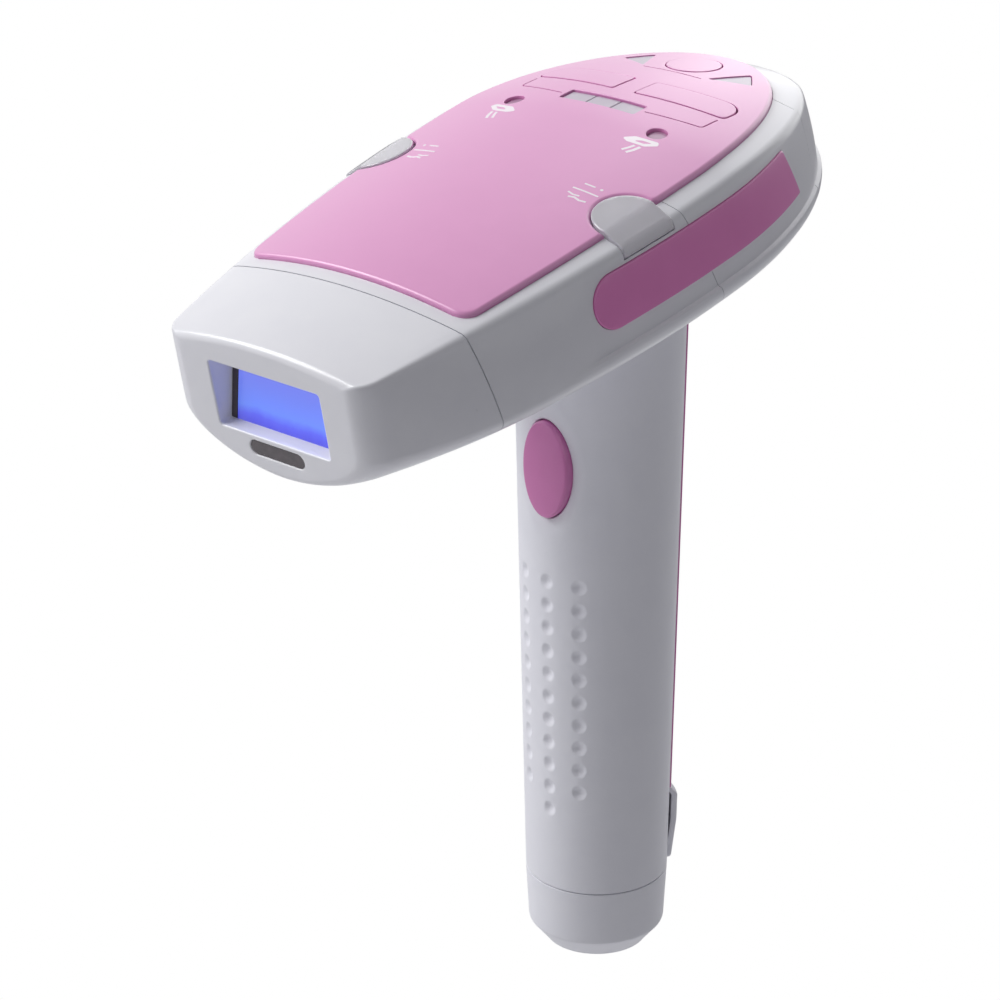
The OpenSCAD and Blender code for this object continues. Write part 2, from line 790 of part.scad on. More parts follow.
// End cap of the grip, with the power inlet in its middle
jack_d = 9;
jack_bore_d = 5.8;
jack_pin_d = 2;
jack_h = 12;
jack_flange = 3;
jack_floor = 2;
cap_floor = 3;
spigot_h = 6;
spigot_wall = 2;
cap_foot_r = 13.6;
bevel_in = 0.5;
cap_screw_x = 10;
screw_d = 2.4;
screw_head_d = 4.4;
screw_head_h = 1.6;
screw_bite = 6;
thread_gap = 0.02;
pillar_d = 5.4;
module handle_end_cap() {
    color(white)
        difference() {
            rotate_extrude($fn = 96)
                polygon([[0, 0], [cap_foot_r, 0], [grip_r(cap_bevel) - bevel_in, cap_bevel],
                    [grip_r(cap_seam), cap_seam],
                    [grip_r(cap_seam) - grip_wall - fit_gap, cap_seam],
                    [grip_r(cap_seam) - grip_wall - fit_gap, cap_seam + spigot_h],
                    [grip_r(cap_seam) - grip_wall - fit_gap - spigot_wall, cap_seam + spigot_h],
                    [cap_foot_r - bevel_in, cap_floor], [0, cap_floor]]);
            translate([0, 0, -1])
                cylinder(h = cap_floor + 2, d = jack_d + 2 * fit_gap, $fn = 48);
            for (side = [-1, 1])
                translate([side * cap_screw_x, 0, -1]) {
                    cylinder(h = cap_floor + 2, d = screw_d + 2 * fit_gap, $fn = 32);
                    cylinder(h = 1 + screw_head_h + fit_gap, d = screw_head_d + 2 * fit_gap, $fn = 32);
                }
        }
}
module cap_screws() {
    color("dimgray")
        for (side = [-1, 1])
            translate([side * cap_screw_x, 0, fit_gap]) {
                cylinder(h = screw_head_h, d = screw_head_d, $fn = 32);
                cylinder(h = cap_floor + screw_bite, d = screw_d, $fn = 32);
            }
}
module dc_jack() {
    color("dimgray") {
        difference() {
            union() {
                cylinder(h = jack_h, d = jack_d, $fn = 48);
                translate([0, 0, cap_floor])
                    cylinder(h = jack_h - cap_floor, d = jack_d + jack_flange, $fn = 48);
            }
            translate([0, 0, -1])
                cylinder(h = jack_h - jack_floor + 1, d = jack_bore_d, $fn = 48);
        }
        cylinder(h = jack_h, d = jack_pin_d, $fn = 32);
    }
}

// Chassis in the grip: a spine with two rings for the capacitor, pillars for the cap and the switch's arm
ring_low = cap_seam + spigot_h + 2;
ring_t = 4;
capacitor_r = 12.6;
capacitor_h = 66;
capacitor_free = 8;
ring_high = ring_low + capacitor_h - capacitor_free;
spine_w = 9;
spine_t = 1.6;
spine_y = capacitor_r + fit_gap;
ledge = 2;
switch_w = 6.4;
switch_tall = 13;
arm_tall = 8;
function bore_r(z) = grip_r(z) - grip_wall;
module chassis_ring(z, bore) {
    translate([0, 0, z])
        difference() {
            cylinder(h = ring_t, r = bore_r(z) - fit_gap, $fn = 96);
            translate([0, 0, -1])
                cylinder(h = ring_t + 2, r = bore, $fn = 64);
        }
}
module grip_chassis() {
    color("whitesmoke")
        difference() {
            union() {
                chassis_ring(ring_low, capacitor_r - ledge);
                chassis_ring(ring_high, capacitor_r + fit_gap);
                translate([-spine_w / 2, spine_y, ring_low])
                    cube([spine_w, spine_t, trigger_z + arm_tall / 2 - ring_low]);
                translate([-switch_w / 2, 1, trigger_z - arm_tall / 2])
                    cube([switch_w, spine_y, arm_tall]);
                for (side = [-1, 1])
                    translate([side * cap_screw_x, 0, cap_floor])
                        cylinder(h = ring_low - cap_floor + 1, d = pillar_d, $fn = 32);
            }
            for (side = [-1, 1])
                translate([side * cap_screw_x, 0, cap_floor - 1])
                    cylinder(h = screw_bite + 2, d = screw_d + thread_gap, $fn = 32);
        }
}
module main_capacitor() {
    color("midnightblue")
        translate([0, 0, ring_low + ring_t])
            cylinder(h = capacitor_h, r = capacitor_r, $fn = 64);
}
switch_front = -7;
nub_d = 3;
nub_reach = 0.5;
module trigger_switch() {
    color("dimgray") {
        translate([-switch_w / 2, switch_front, trigger_z - switch_tall / 2])
            cube([switch_w, 1 - switch_front, switch_tall]);
        translate([0, switch_front + 1, trigger_z])
            rotate([90, 0, 0])
                cylinder(h = 1 + nub_reach, d = nub_d, $fn = 32);
    }
}

// Trigger: an oval key that follows the grip's surface, with a flange behind the wall
trigger_proud = 0.8;
flange_w = 2;
flange_t = 1.5;
trigger_stem_d = 5;
trigger_stem_y = switch_front - nub_reach - trigger_travel - trigger_gap;
flange_y = sqrt(square_of(bore_r(trigger_z - trigger_h / 2 - flange_w))
    - square_of(trigger_w / 2 + flange_w)) - trigger_gap;
module trigger_button() {
    color(pink) {
        intersection() {
            oval_block(trigger_w, trigger_h, -flange_y + flange_t / 2, tall);
            grip_cone(trigger_z - trigger_h, trigger_z + trigger_h, trigger_proud);
        }
        oval_block(trigger_w + 2 * flange_w, trigger_h + 2 * flange_w, -flange_y + flange_t, flange_t);
        translate([0, trigger_stem_y, trigger_z])
            rotate([90, 0, 0])
                cylinder(h = flange_y - flange_t / 2 + trigger_stem_y, d = trigger_stem_d, $fn = 32);
    }
}

// Flat plate across the head, cut to the inside of the casing at y and running back by thick
module bulkhead(y, thick, inset) {
    outline = [for (p = ring(y, 0, inset)) [p[0], p[2]]];
    translate([0, y + thick, 0])
        rotate([90, 0, 0])
            linear_extrude(thick)
                polygon(outline);
}
// Block centred on x, from y back by long, about the height z
module block(w, long, h, y, z) {
    translate([-w / 2, y, z - h / 2])
        cube([w, long, h]);
}
// Round bar along y
module bar(d, y, long, x, z) {
    translate([x, y + long, z])
        rotate([90, 0, 0])
            cylinder(h = long, d = d, $fn = 48);
}

// Lamp cartridge: what lies behind the window
glass_w = 34;
glass_h = 17;
glass_t = 1.8;
glass_y = frame_y + frame_deep;
lamp_d = 6;
lamp_long = 38;
terminal_d = 5;
terminal_long = 4;
reflector_r = 6;
reflector_t = 0.8;
reflector_long = 32;
lamp_y = glass_y + glass_t + reflector_r + fit_gap;
plate_y = lamp_y + reflector_r + reflector_t + fit_gap;
plate_t = 3;
plug_w = 50;
plug_h = 18;
plug_wall = 2.2;
plug_reach = 18.8;
plug_end = -nose_seam + plug_reach;
blade_x = 20;
blade_w = 7;
blade_t = 1;
blade_long = 9;
module filter_glass() {
    color("royalblue")
        head()
            block(glass_w, glass_t, glass_h, glass_y, window_z);
}
module reflector() {
    color("silver")
        head()
            translate([-reflector_long / 2, lamp_y, window_z])
                rotate([90, 0, 90])
                    linear_extrude(reflector_long)
                        difference() {
                            union() {
                                circle(reflector_r + reflector_t, $fn = 64);
                                translate([glass_y + glass_t + fit_gap - lamp_y, -reflector_r - reflector_t])
                                    square([lamp_y - glass_y - glass_t - fit_gap,
                                        2 * (reflector_r + reflector_t)]);
                            }
                            circle(reflector_r, $fn = 64);
                            translate([-tall, -reflector_r])
                                square([tall, 2 * reflector_r]);
                        }
}
module flash_lamp() {
    color("aliceblue")
        head()
            translate([-lamp_long / 2, lamp_y, window_z])
                rotate([0, 90, 0])
                    cylinder(h = lamp_long, d = lamp_d, $fn = 48);
}
module lamp_terminals() {
    color("goldenrod")
        head()
            both_sides()
                translate([lamp_long / 2, lamp_y, window_z])
                    rotate([0, 90, 0])
                        cylinder(h = terminal_long, d = terminal_d, $fn = 48);
}
arm_inset = 0.6;
arm_x = lamp_long / 2 + arm_inset;
arm_w = terminal_long - 2 * arm_inset;
arm_h = 9;
module cartridge_chassis() {
    color("dimgray")
        head()
            difference() {
                union() {
                    bulkhead(plate_y, plate_t, wall + fit_gap);
                    block(plug_w, plug_end - plate_y, plug_h, plate_y, window_z);
                    both_sides()
                        translate([arm_x, lamp_y - arm_h / 2, window_z - arm_h / 2])
                            cube([arm_w, plate_y - lamp_y + arm_h / 2 + 1, arm_h]);
                }
                block(plug_w - 2 * plug_wall - 2 * blade_w, tall, plug_h - 2 * plug_wall,
                    plate_y - 1, window_z);
                both_sides()
                    translate([0, lamp_y, window_z])
                        rotate([0, 90, 0])
                            cylinder(h = tall, d = terminal_d + 2 * fit_gap, $fn = 48);
                both_sides()
                    translate([blade_x - blade_w / 2, plug_end - blade_long, window_z - blade_t / 2])
                        cube([blade_w, tall, blade_t]);
            }
}
module cartridge_contacts() {
    color("goldenrod")
        head()
            both_sides()
                translate([blade_x - blade_w / 2, plug_end - blade_long, window_z - blade_t / 2])
                    cube([blade_w, 2 * blade_long, blade_t]);
}
module skin_sensor() {
    color("black")
        head()
            translate([0, -face_reach + face_t, 0])
                rotate([90, 0, 0])
                    linear_extrude(face_t - sensor_sunk)
                        sensor_plan(0);
}

// Socket for the cartridge: a bulkhead with a collar round the plug, spring contacts and the fan behind it
socket_clear = 4;
plug_overlap = 8;
socket_y = plug_end + socket_clear;
socket_t = 3;
collar_t = 2.4;
collar_front = plug_end - plug_overlap;
plug_gap = 0.35;
duct_margin = 4;
slit_gap = 0.5;
fan_w = 30;
fan_t = 10;
fan_z = 0.8;
fan_bore = 28;
hub_d = 13;
blade_d = 26.6;
axle_d = 2;
vane_count = 7;
vane_t = 1;
vane_pitch = 38;
rotor_gap = 0.5;
spider_t = 1.6;
spoke_w = 2;
spoke_bite = 0.5;
axle_gap = 0.15;
axle_set = 2;
fan_y = socket_y + socket_t;
module cartridge_socket() {
    color("dimgray")
        head()
            difference() {
                union() {
                    bulkhead(socket_y, socket_t, wall + fit_gap);
                    block(plug_w + 2 * (plug_gap + collar_t), socket_y - collar_front + 1,
                        plug_h + 2 * (plug_gap + collar_t), collar_front, window_z);
                }
                block(plug_w + 2 * plug_gap, socket_y - collar_front, plug_h + 2 * plug_gap,
                    collar_front - eps, window_z);
                bar(fan_bore - duct_margin, collar_front, tall, 0, fan_z);
                both_sides()
                    translate([blade_x - blade_w / 2 - slit_gap, collar_front,
                               window_z - blade_t / 2 - slit_gap])
                        cube([blade_w + 2 * slit_gap, tall, blade_t + 2 * slit_gap]);
            }
}
clip_t = 0.6;
clip_gap = 0.35;
clip_z = blade_t / 2 + clip_gap + clip_t / 2;
module socket_contacts() {
    color("goldenrod")
        head()
            both_sides()
                for (up = [-1, 1])
                    translate([blade_x - blade_w / 2, fan_y, window_z - clip_t / 2 + up * clip_z])
                        cube([blade_w, blade_long - socket_t, clip_t]);
}
module fan_frame() {
    color("black")
        head()
            union() {
                difference() {
                    block(fan_w, fan_t, fan_w, fan_y, fan_z);
                    bar(fan_bore, fan_y - 1, fan_t + 2, 0, fan_z);
                }
                bar(hub_d, fan_y + fan_t - spider_t, spider_t, 0, fan_z);
                for (k = [0 : 2])
                    translate([0, fan_y + fan_t - spider_t, fan_z])
                        rotate([0, 120 * k, 0])
                            translate([-spoke_w / 2, 0, 0])
                                cube([spoke_w, spider_t, fan_bore / 2 + spoke_bite]);
                bar(axle_d, fan_y + axle_set, fan_t - axle_set, 0, fan_z);
            }
}
module fan_rotor() {
    rotor_y = fan_y + 1;
    rotor_long = fan_t - spider_t - 1 - rotor_gap;
    color("dimgray")
        head()
            difference() {
                union() {
                    bar(hub_d, rotor_y, rotor_long, 0, fan_z);
                    intersection() {
                        bar(blade_d, rotor_y, rotor_long, 0, fan_z);
                        for (k = [0 : vane_count - 1])
                            translate([0, rotor_y + rotor_long / 2, fan_z])
                                rotate([0, 360 * k / vane_count, 0])
                                    rotate([0, 0, vane_pitch])
                                        translate([-vane_t / 2, -fan_t / 2, 0])
                                            cube([vane_t, fan_t, blade_d]);
                    }
                }
                bar(axle_d + 2 * axle_gap, fan_y + axle_set - 2 * axle_gap, fan_t, 0, fan_z);
            }
}

// Control board under the top panel, with what it carries
board_front = -36;
board_rear = 44;
board_w = 52;
board_waist = 24;
board_tail_w = 28;
board_posts = [[20, -30], [10, 27]];
post_d = 6;
post_hole_d = 2;
post_hole_deep = 6;
post_sink = 0.4;
board_screw_head_d = 4;
board_screw_head_h = 1.2;
board_screw_bite = 5;
plunger_d = 3.2;
led_d = 3;
led_h = 3;
switch_side = 6;
switch_base = 2.6;
core_w = 22;
core_long = 16;
core_h = 8.4;
core_yoke = 1.8;
core_y = -14;
coil_margin = 3.4;
module control_board() {
    color("darkgreen")
        head()
            difference() {
                translate([0, 0, board_z - board_t])
                    linear_extrude(board_t)
                        polygon([[-board_w / 2, board_front], [board_w / 2, board_front],
                            [board_w / 2, board_waist],
                            [board_tail_w / 2, board_rear], [-board_tail_w / 2, board_rear],
                            [-board_w / 2, board_waist]]);
                both_sides()
                    for (p = board_posts)
                        translate([p[0], p[1], 0])
                            cylinder(h = tall, d = post_hole_d + 2 * fit_gap, center = true, $fn = 32);
            }
}
module board_screws() {
    color("gray")
        head()
            both_sides()
                for (p = board_posts)
                    translate([p[0], p[1], board_z - board_t - board_screw_head_h]) {
                        cylinder(h = board_screw_head_h, d = board_screw_head_d, $fn = 32);
                        cylinder(h = board_t + board_screw_bite, d = post_hole_d - 2 * thread_gap, $fn = 32);
                    }
}
// Post that hangs from the casing's deck down to the board
module board_post(p) {
    translate([p[0], p[1], board_z])
        difference() {
            cylinder(h = panel_z(p[0] + post_d / 2, p[1]) - panel_t - board_z - post_sink, d = post_d,
                $fn = 32);
            translate([0, 0, -1])
                cylinder(h = post_hole_deep + 1, d = post_hole_d, $fn = 32);
        }
}
module tact_switch(x, y) {
    translate([x - switch_side / 2, y - switch_side / 2, board_z])
        cube([switch_side, switch_side, switch_base]);
    translate([x, y, board_z])
        cylinder(h = switch_h, d = plunger_d, $fn = 32);
}
module key_switches() {
    color("black")
        head() {
            both_sides()
                tact_switch(stem_x, stem_y);
            tact_switch(0, power_y);
        }
}
module indicator_leds() {
    color("white")
        head() {
            both_sides()
                translate([status_x, status_y, board_z])
                    cylinder(h = led_h, d = led_d, $fn = 32);
            for (k = [-1 : 1])
                translate([k * level_w / 3, level_y, board_z])
                    cylinder(h = led_h, d = led_d, $fn = 32);
        }
}
module transformer_core() {
    color("dimgray")
        head()
            difference() {
                translate([-core_w / 2, core_y - core_long / 2, board_z - board_t - core_h])
                    cube([core_w, core_long, core_h]);
                both_sides()
                    translate([core_w / 8, core_y - core_long, board_z - board_t - core_h + core_yoke])
                        cube([core_w / 4, 2 * core_long, core_h - 2 * core_yoke]);
            }
}
module transformer_coil() {
    color("peru")
        head()
            both_sides()
                translate([core_w / 8 + fit_gap, core_y - core_long / 2 - coil_margin,
                           board_z - board_t - core_h + core_yoke + fit_gap])
                    cube([core_w / 4 - 2 * fit_gap, core_long + 2 * coil_margin,
                        core_h - 2 * core_yoke - 2 * fit_gap]);
}

nose_shell();
front_casing();
rear_casing();
rear_cap();
top_panel();
side_inlay_left();
side_inlay_right();
ready_lens_left();
ready_lens_right();
level_window();
status_lens_left();
status_lens_right();
mode_lens_left();
mode_lens_right();
power_button();
left_button();
right_button();
handle_shell();
handle_back_strip();
handle_end_cap();
cap_screws();
dc_jack();
grip_chassis();
main_capacitor();
trigger_switch();
trigger_button();
filter_glass();
skin_sensor();
reflector();
flash_lamp();
lamp_terminals();
cartridge_chassis();
cartridge_contacts();
cartridge_socket();
socket_contacts();
fan_frame();
fan_rotor();
control_board();
board_screws();
key_switches();
indicator_leds();
transformer_core();
transformer_coil();
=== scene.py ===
# %% [markdown]
# # A hand-held light wand, from its measured frame to a picture
# The frame holds every moulded piece in place and knows how each one moves. This lesson
# dresses that frame: smooth shells are modelled over the coarse ones, each piece gets a
# material with real surface detail, and a camera looks from the side of the flash window.

# %% Load the frame
import json
import math
import bmesh
import bpy
from mathutils import Matrix, Vector
from mathutils.geometry import delaunay_2d_cdt
from mathutils.kdtree import KDTree


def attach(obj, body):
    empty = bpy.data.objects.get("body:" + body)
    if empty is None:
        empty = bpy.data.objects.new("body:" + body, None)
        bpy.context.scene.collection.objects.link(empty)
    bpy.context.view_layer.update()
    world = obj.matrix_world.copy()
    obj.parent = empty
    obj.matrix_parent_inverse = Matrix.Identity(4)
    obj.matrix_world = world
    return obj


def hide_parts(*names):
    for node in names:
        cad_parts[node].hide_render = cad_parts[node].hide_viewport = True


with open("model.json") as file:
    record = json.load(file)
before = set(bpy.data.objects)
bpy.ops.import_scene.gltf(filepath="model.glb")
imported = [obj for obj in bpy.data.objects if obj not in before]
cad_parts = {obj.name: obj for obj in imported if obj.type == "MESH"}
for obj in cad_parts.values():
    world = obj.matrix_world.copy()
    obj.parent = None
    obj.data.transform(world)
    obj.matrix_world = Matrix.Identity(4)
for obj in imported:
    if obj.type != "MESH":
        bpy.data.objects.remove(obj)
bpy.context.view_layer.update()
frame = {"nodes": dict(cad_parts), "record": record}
MM = 0.001


def new_object(name, data):
    """Object for a mesh, lamp or camera, linked to the scene."""
    made = bpy.data.objects.new(name, data)
    bpy.context.scene.collection.objects.link(made)
    return made


# %% [markdown]
# ## Camera
# A long lens far away keeps the upright grip straight. The direction is given by two angles:
# round the grip and up from level. A slight roll matches the way the object leans.

# %% Camera
AROUND, ABOVE, ROLL = math.radians(41.6), math.radians(22.6), math.radians(-0.3)
LENS_MM, SENSOR_MM = 122.4, 36.0
CAMERA_AT = Vector((0.48383, -0.58080, 0.43259))


def camera_axes(around, above, roll):
    """Right, up and backward directions of a camera that looks at the grip."""
    right = Vector((math.cos(around), math.sin(around), 0.0))
    level = Vector((math.sin(around), -math.cos(around), 0.0))
    back = level * math.cos(above) + Vector((0.0, 0.0, math.sin(above)))
    up = back.cross(right)
    return (right * math.cos(roll) + up * math.sin(roll),
            up * math.cos(roll) - right * math.sin(roll), back)


camera_data = bpy.data.cameras.new("camera")
camera_data.lens = LENS_MM
camera_data.sensor_width = SENSOR_MM
camera = new_object("camera", camera_data)
turned = Matrix(camera_axes(AROUND, ABOVE, ROLL)).transposed().to_4x4()
camera.matrix_world = Matrix.Translation(CAMERA_AT) @ turned
bpy.context.scene.camera = camera
print("camera lens in mm:", LENS_MM)

# %% [markdown]
# ## Materials
# One function turns a web colour into the linear values that a shader needs, and one adds a
# node. A moulded plastic is a colour with a faint mottle, a roughness that wanders and a very
# fine bump; the sizes of those patterns are given in millimetres.
#
# Web colours are stored for screens. The curve that undoes this has a short straight part
# near black, so the function tests on which side of the bend a value lies.

# %% Colour and node helpers
def colour(web):
    """Linear RGBA from a web colour such as #e8a0d8."""
    parts = [int(web[i:i + 2], 16) / 255.0 for i in (1, 3, 5)]
    return [c / 12.92 if c <= 0.04045 else ((c + 0.055) / 1.055) ** 2.4 for c in parts] + [1.0]


def add(tree, kind, links=(), **values):
    """Add a node, or take one that is there, and connect it.

    Values set its sockets or attributes by name, with _ for a space. Links are
    (socket, from_node, output)."""
    node = tree.nodes.new(kind) if isinstance(kind, str) else kind
    for name, value in values.items():
        socket = node.inputs.get(name.replace("_", " "))
        if socket is None:
            setattr(node, name, value)
        else:
            socket.default_value = value
    for socket, source, output in links:
        tree.links.new(source.outputs[output], node.inputs[socket])
    return node


def material(name):
    """A node material: itself, its tree, its shader and the coordinates for patterns."""
    made = bpy.data.materials.new(name)
    made.use_nodes = True
    tree = made.node_tree
    return made, tree, tree.nodes["Principled BSDF"], add(tree, "ShaderNodeTexCoord")


print("white in linear light:", [round(c, 3) for c in colour("#eeeef4")])

# %% A moulded plastic
WANDER, COAT_ROUGH, GRAIN_STRENGTH = 0.2, 0.12, 0.6


def moulded(name, web, shade_web, rough, grain_mm, relief_mm, coat=0.0, mottle_mm=9.0, **values):
    """Plastic from a mould: faint mottle, wandering roughness and a fine grain.

    Further values go to sockets of the shader, with _ for a space in their names."""
    made, tree, shader, place = material(name)
    mottle = add(tree, "ShaderNodeTexNoise", [("Vector", place, "Object")],
                 Scale=1.0 / (mottle_mm * MM), Detail=4.0, Roughness=0.55)
    blend = add(tree, "ShaderNodeMix", [(0, mottle, "Fac")], data_type="RGBA")
    for index, tone in ((6, shade_web), (7, web)):
        blend.inputs[index].default_value = colour(tone)
    wander = add(tree, "ShaderNodeMapRange", [("Value", mottle, "Fac")],
                 To_Min=rough * (1.0 - WANDER), To_Max=rough * (1.0 + WANDER))
    grain = add(tree, "ShaderNodeTexNoise", [("Vector", place, "Object")],
                Scale=1.0 / (grain_mm * MM), Detail=2.0)
    bump = add(tree, "ShaderNodeBump", [("Height", grain, "Fac")],
               Strength=GRAIN_STRENGTH, Distance=relief_mm * MM)
    values = {"Coat_Weight": coat, "Coat_Roughness": COAT_ROUGH} | values
    links = [("Base Color", blend, 2), ("Roughness", wander, 0), ("Normal", bump, 0)]
    add(tree, shader, links, **values)
    return made


print("share by which roughness wanders:", WANDER)

# %% [markdown]
# ## The shape of the head
# The head is a long tube whose section changes from the flash window to the rounded back.
# A few curves along its length describe it: half the width of the coloured panel, of the
# shoulder and of the fullest line, and the heights of the crest and the keel. All shells are
# built from these curves, so that neighbouring pieces meet.

# %% Curves along the head, in millimetres from the grip's axis
HEAD = Matrix.Translation((0.0, 0.0, 195.0)) @ Matrix.Rotation(math.radians(11.5), 4, "X")
# Along the head: the face, the panel's rear and front, and where width and height are greatest.
REACH, REAR, FRONT, WIDEST, CREST_Y = 111.95, 50.2, 81.4, -8.8, -3.8
TAPER_Y, FLARE_RUN, LIP_Y, LIP_RUN, REAR_SEAM = -20.0, 44.0, -62.0, 12.0, 35.0
# Across: half the panel's width, then how far the shoulder and the fullest line lie outside it.
HALF, FRONT_HALF, RIM, FLARE, REAR_RIM, REAR_REACH = 37.5, 32.4, 5.0, 3.4, 9.4, 11.6
LIP, LIP_UP, LIP_CREST = 0.9, 1.7, 1.2
# Up and down: the crest and how the panel falls from it, the shoulder, fullest line and keel.
CREST, CROWN, FRONT_DROP, REAR_DROP, REAR_POWER = 22.2, 4.6, 2.9, 9.0, 1.72
PROUD, PANEL_T, GAP, WALL = 1.2, 2.4, 0.15, 2.4
RIM_LOSS, RIM_POWER, RIM_DROP, RIM_STEP = 0.64, 1.3, 2.6, 0.4 * PROUD
FULLEST, FULLEST_RISE, KEEL, KEEL_FRONT, KEEL_RISE, KEEL_REAR = -8.0, 3.0, 21.8, 4.8, 1.5, 6.0


def front_share(y):
    """How far a station lies along the taper, from 0 at its start to 1 at the face."""
    return max(0.0, (TAPER_Y - y) / (REACH + TAPER_Y))


def rim_share(y):
    return 1.0 - RIM_LOSS * front_share(y) ** RIM_POWER


def flare_share(y):
    return 1.0 - max(0.0, 1.0 - (y + REACH) / FLARE_RUN) ** 2


def half_line(y, side_add, rear_add):
    """Half width of a line round the panel that lies outside it by side_add and rear_add."""
    if y < WIDEST:
        return HALF - (HALF - FRONT_HALF) * ((WIDEST - y) / (WIDEST + FRONT)) ** 2 + side_add
    share = (y - WIDEST) / (REAR + rear_add - WIDEST)
    return (HALF + side_add) * math.sqrt(max(0.0, 1.0 - share ** 2))


def shoulder_half(y):
    return half_line(y, RIM * rim_share(y), REAR_RIM)


def side_half(y):
    return half_line(y, RIM * rim_share(y) + FLARE * flare_share(y), REAR_REACH)


def wall_half(y):
    """Half width of the side's upper wall, inside the low lip that starts at the inlay's front."""
    share = max(0.0, min(1.0, (y - LIP_Y) / LIP_RUN))
    return side_half(y) - LIP * share * share * (3.0 - 2.0 * share)


def panel_z(x, y):
    """Height of the panel's top: it falls from the crest to both ends and to the sides."""
    if y < CREST_Y:
        drop = FRONT_DROP * ((CREST_Y - y) / (CREST_Y + FRONT)) ** 2
    else:
        drop = REAR_DROP * ((y - CREST_Y) / (REAR - CREST_Y)) ** REAR_POWER
    return CREST - drop - CROWN * (x / HALF) ** 2


def edge_z(y):
    return panel_z(half_line(y, 0.0, 0.0), y)


def shoulder_z(y):
    return edge_z(y) - RIM_DROP * rim_share(y) - RIM_STEP


def fullest_z(y):
    return FULLEST + FULLEST_RISE * (1.0 - flare_share(y))


def keel_z(y):
    rear_share = max(0.0, y) / (REAR + REAR_REACH)
    return -KEEL + KEEL_FRONT * front_share(y) ** KEEL_RISE + KEEL_REAR * rear_share ** 2


def side_x(y, z):
    """Half width of the side wall at a height."""
    share = (z - fullest_z(y)) / (shoulder_z(y) - fullest_z(y))
    return wall_half(y) - (wall_half(y) - shoulder_half(y)) * share * share


print("head width in mm:", round(2 * side_half(WIDEST), 1))

# %% Turning points into smooth meshes
SHARP_DEG, MERGE, SLIVER, SPACING = 38.0, 1e-5, 4e-5, 0.45


def finish_mesh(name, mesh, looks, body, sharp=SHARP_DEG):
    """Link a mesh as an object that rides a body, smooth except at sharp edges."""
    mesh.shade_smooth()
    mesh.set_sharp_from_angle(angle=math.radians(sharp))
    made = new_object(name, mesh)
    mesh.materials.append(looks)
    weighted = made.modifiers.new("even_normals", "WEIGHTED_NORMAL")
    weighted.keep_sharp = True
    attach(made, body)
    return made


def mesh_from(name, work, frame_matrix):
    """Mesh from millimetre work in a frame, with its faces turned outward."""
    bmesh.ops.remove_doubles(work, verts=work.verts, dist=MERGE)
    bmesh.ops.dissolve_degenerate(work, edges=work.edges, dist=1e-6)
    bmesh.ops.recalc_face_normals(work, faces=work.faces)
    bmesh.ops.transform(work, matrix=Matrix.Scale(MM, 4) @ frame_matrix, verts=work.verts)
    mesh = bpy.data.meshes.new(name)
    work.to_mesh(mesh)
    work.free()
    return mesh


def pairs(loop):
    """Each point of a loop with the next one."""
    return zip(loop, loop[1:] + loop[:1])


def area_of(loop):
    return sum(p[0] * q[1] - q[0] * p[1] for p, q in pairs(loop)) / 2.0


def offset(loop, by):
    """Loop moved to its left by a distance."""
    moved = []
    for before, here, after in zip(loop[-1:] + loop[:-1], loop, loop[1:] + loop[:1]):
        into, out = Vector(here) - Vector(before), Vector(after) - Vector(here)
        into, out = into.normalized(), out.normalized()
        left = Vector((-into.y - out.y, into.x + out.x))
        if left.length < 1e-6:
            left = Vector((-out.y, out.x))
        left.normalize()
        reach = by / max(0.4, left.dot(Vector((-out.y, out.x))))
        moved.append((here[0] + left.x * reach, here[1] + left.y * reach))
    return moved


def within(point, sides):
    """Whether a line from a point to the right crosses an odd number of sides."""
    x, y = point
    odd = False
    for p, q in sides:
        if (p[1] > y) != (q[1] > y) and x < p[0] + (q[0] - p[0]) * (y - p[1]) / (q[1] - p[1]):
            odd = not odd
    return odd


def sides_of(loops):
    return [side for loop in loops for side in pairs(loop)]


def fill(points, links, sides):
    """Triangles between points in a plane, those inside the sides and wider than a sliver."""
    plane = [Vector(p) for p in points]
    spots, _, faces, origins, _, _ = delaunay_2d_cdt(plane, links, [], 0, 1e-6)
    kept = []
    for face in faces:
        a, b, c = (spots[i] for i in face)
        if abs((b - a).cross(c - a)) > SLIVER and within((a + b + c) / 3.0, sides):
            kept.append(face)
    return spots, kept, origins


print("area of a unit square:", area_of([(0, 0), (1, 0), (1, 1), (0, 1)]))

# %% A plate on a curved surface, with holes and rounded edges
def dense(loop, pitch):
    """Loop whose long sides are split, so that they can follow a curved surface."""
    made = []
    for p, q in pairs(loop):
        parts = max(1, round(math.dist(p, q) / pitch))
        made += [(p[0] + (q[0] - p[0]) * i / parts, p[1] + (q[1] - p[1]) * i / parts)
                 for i in range(parts)]
    return made


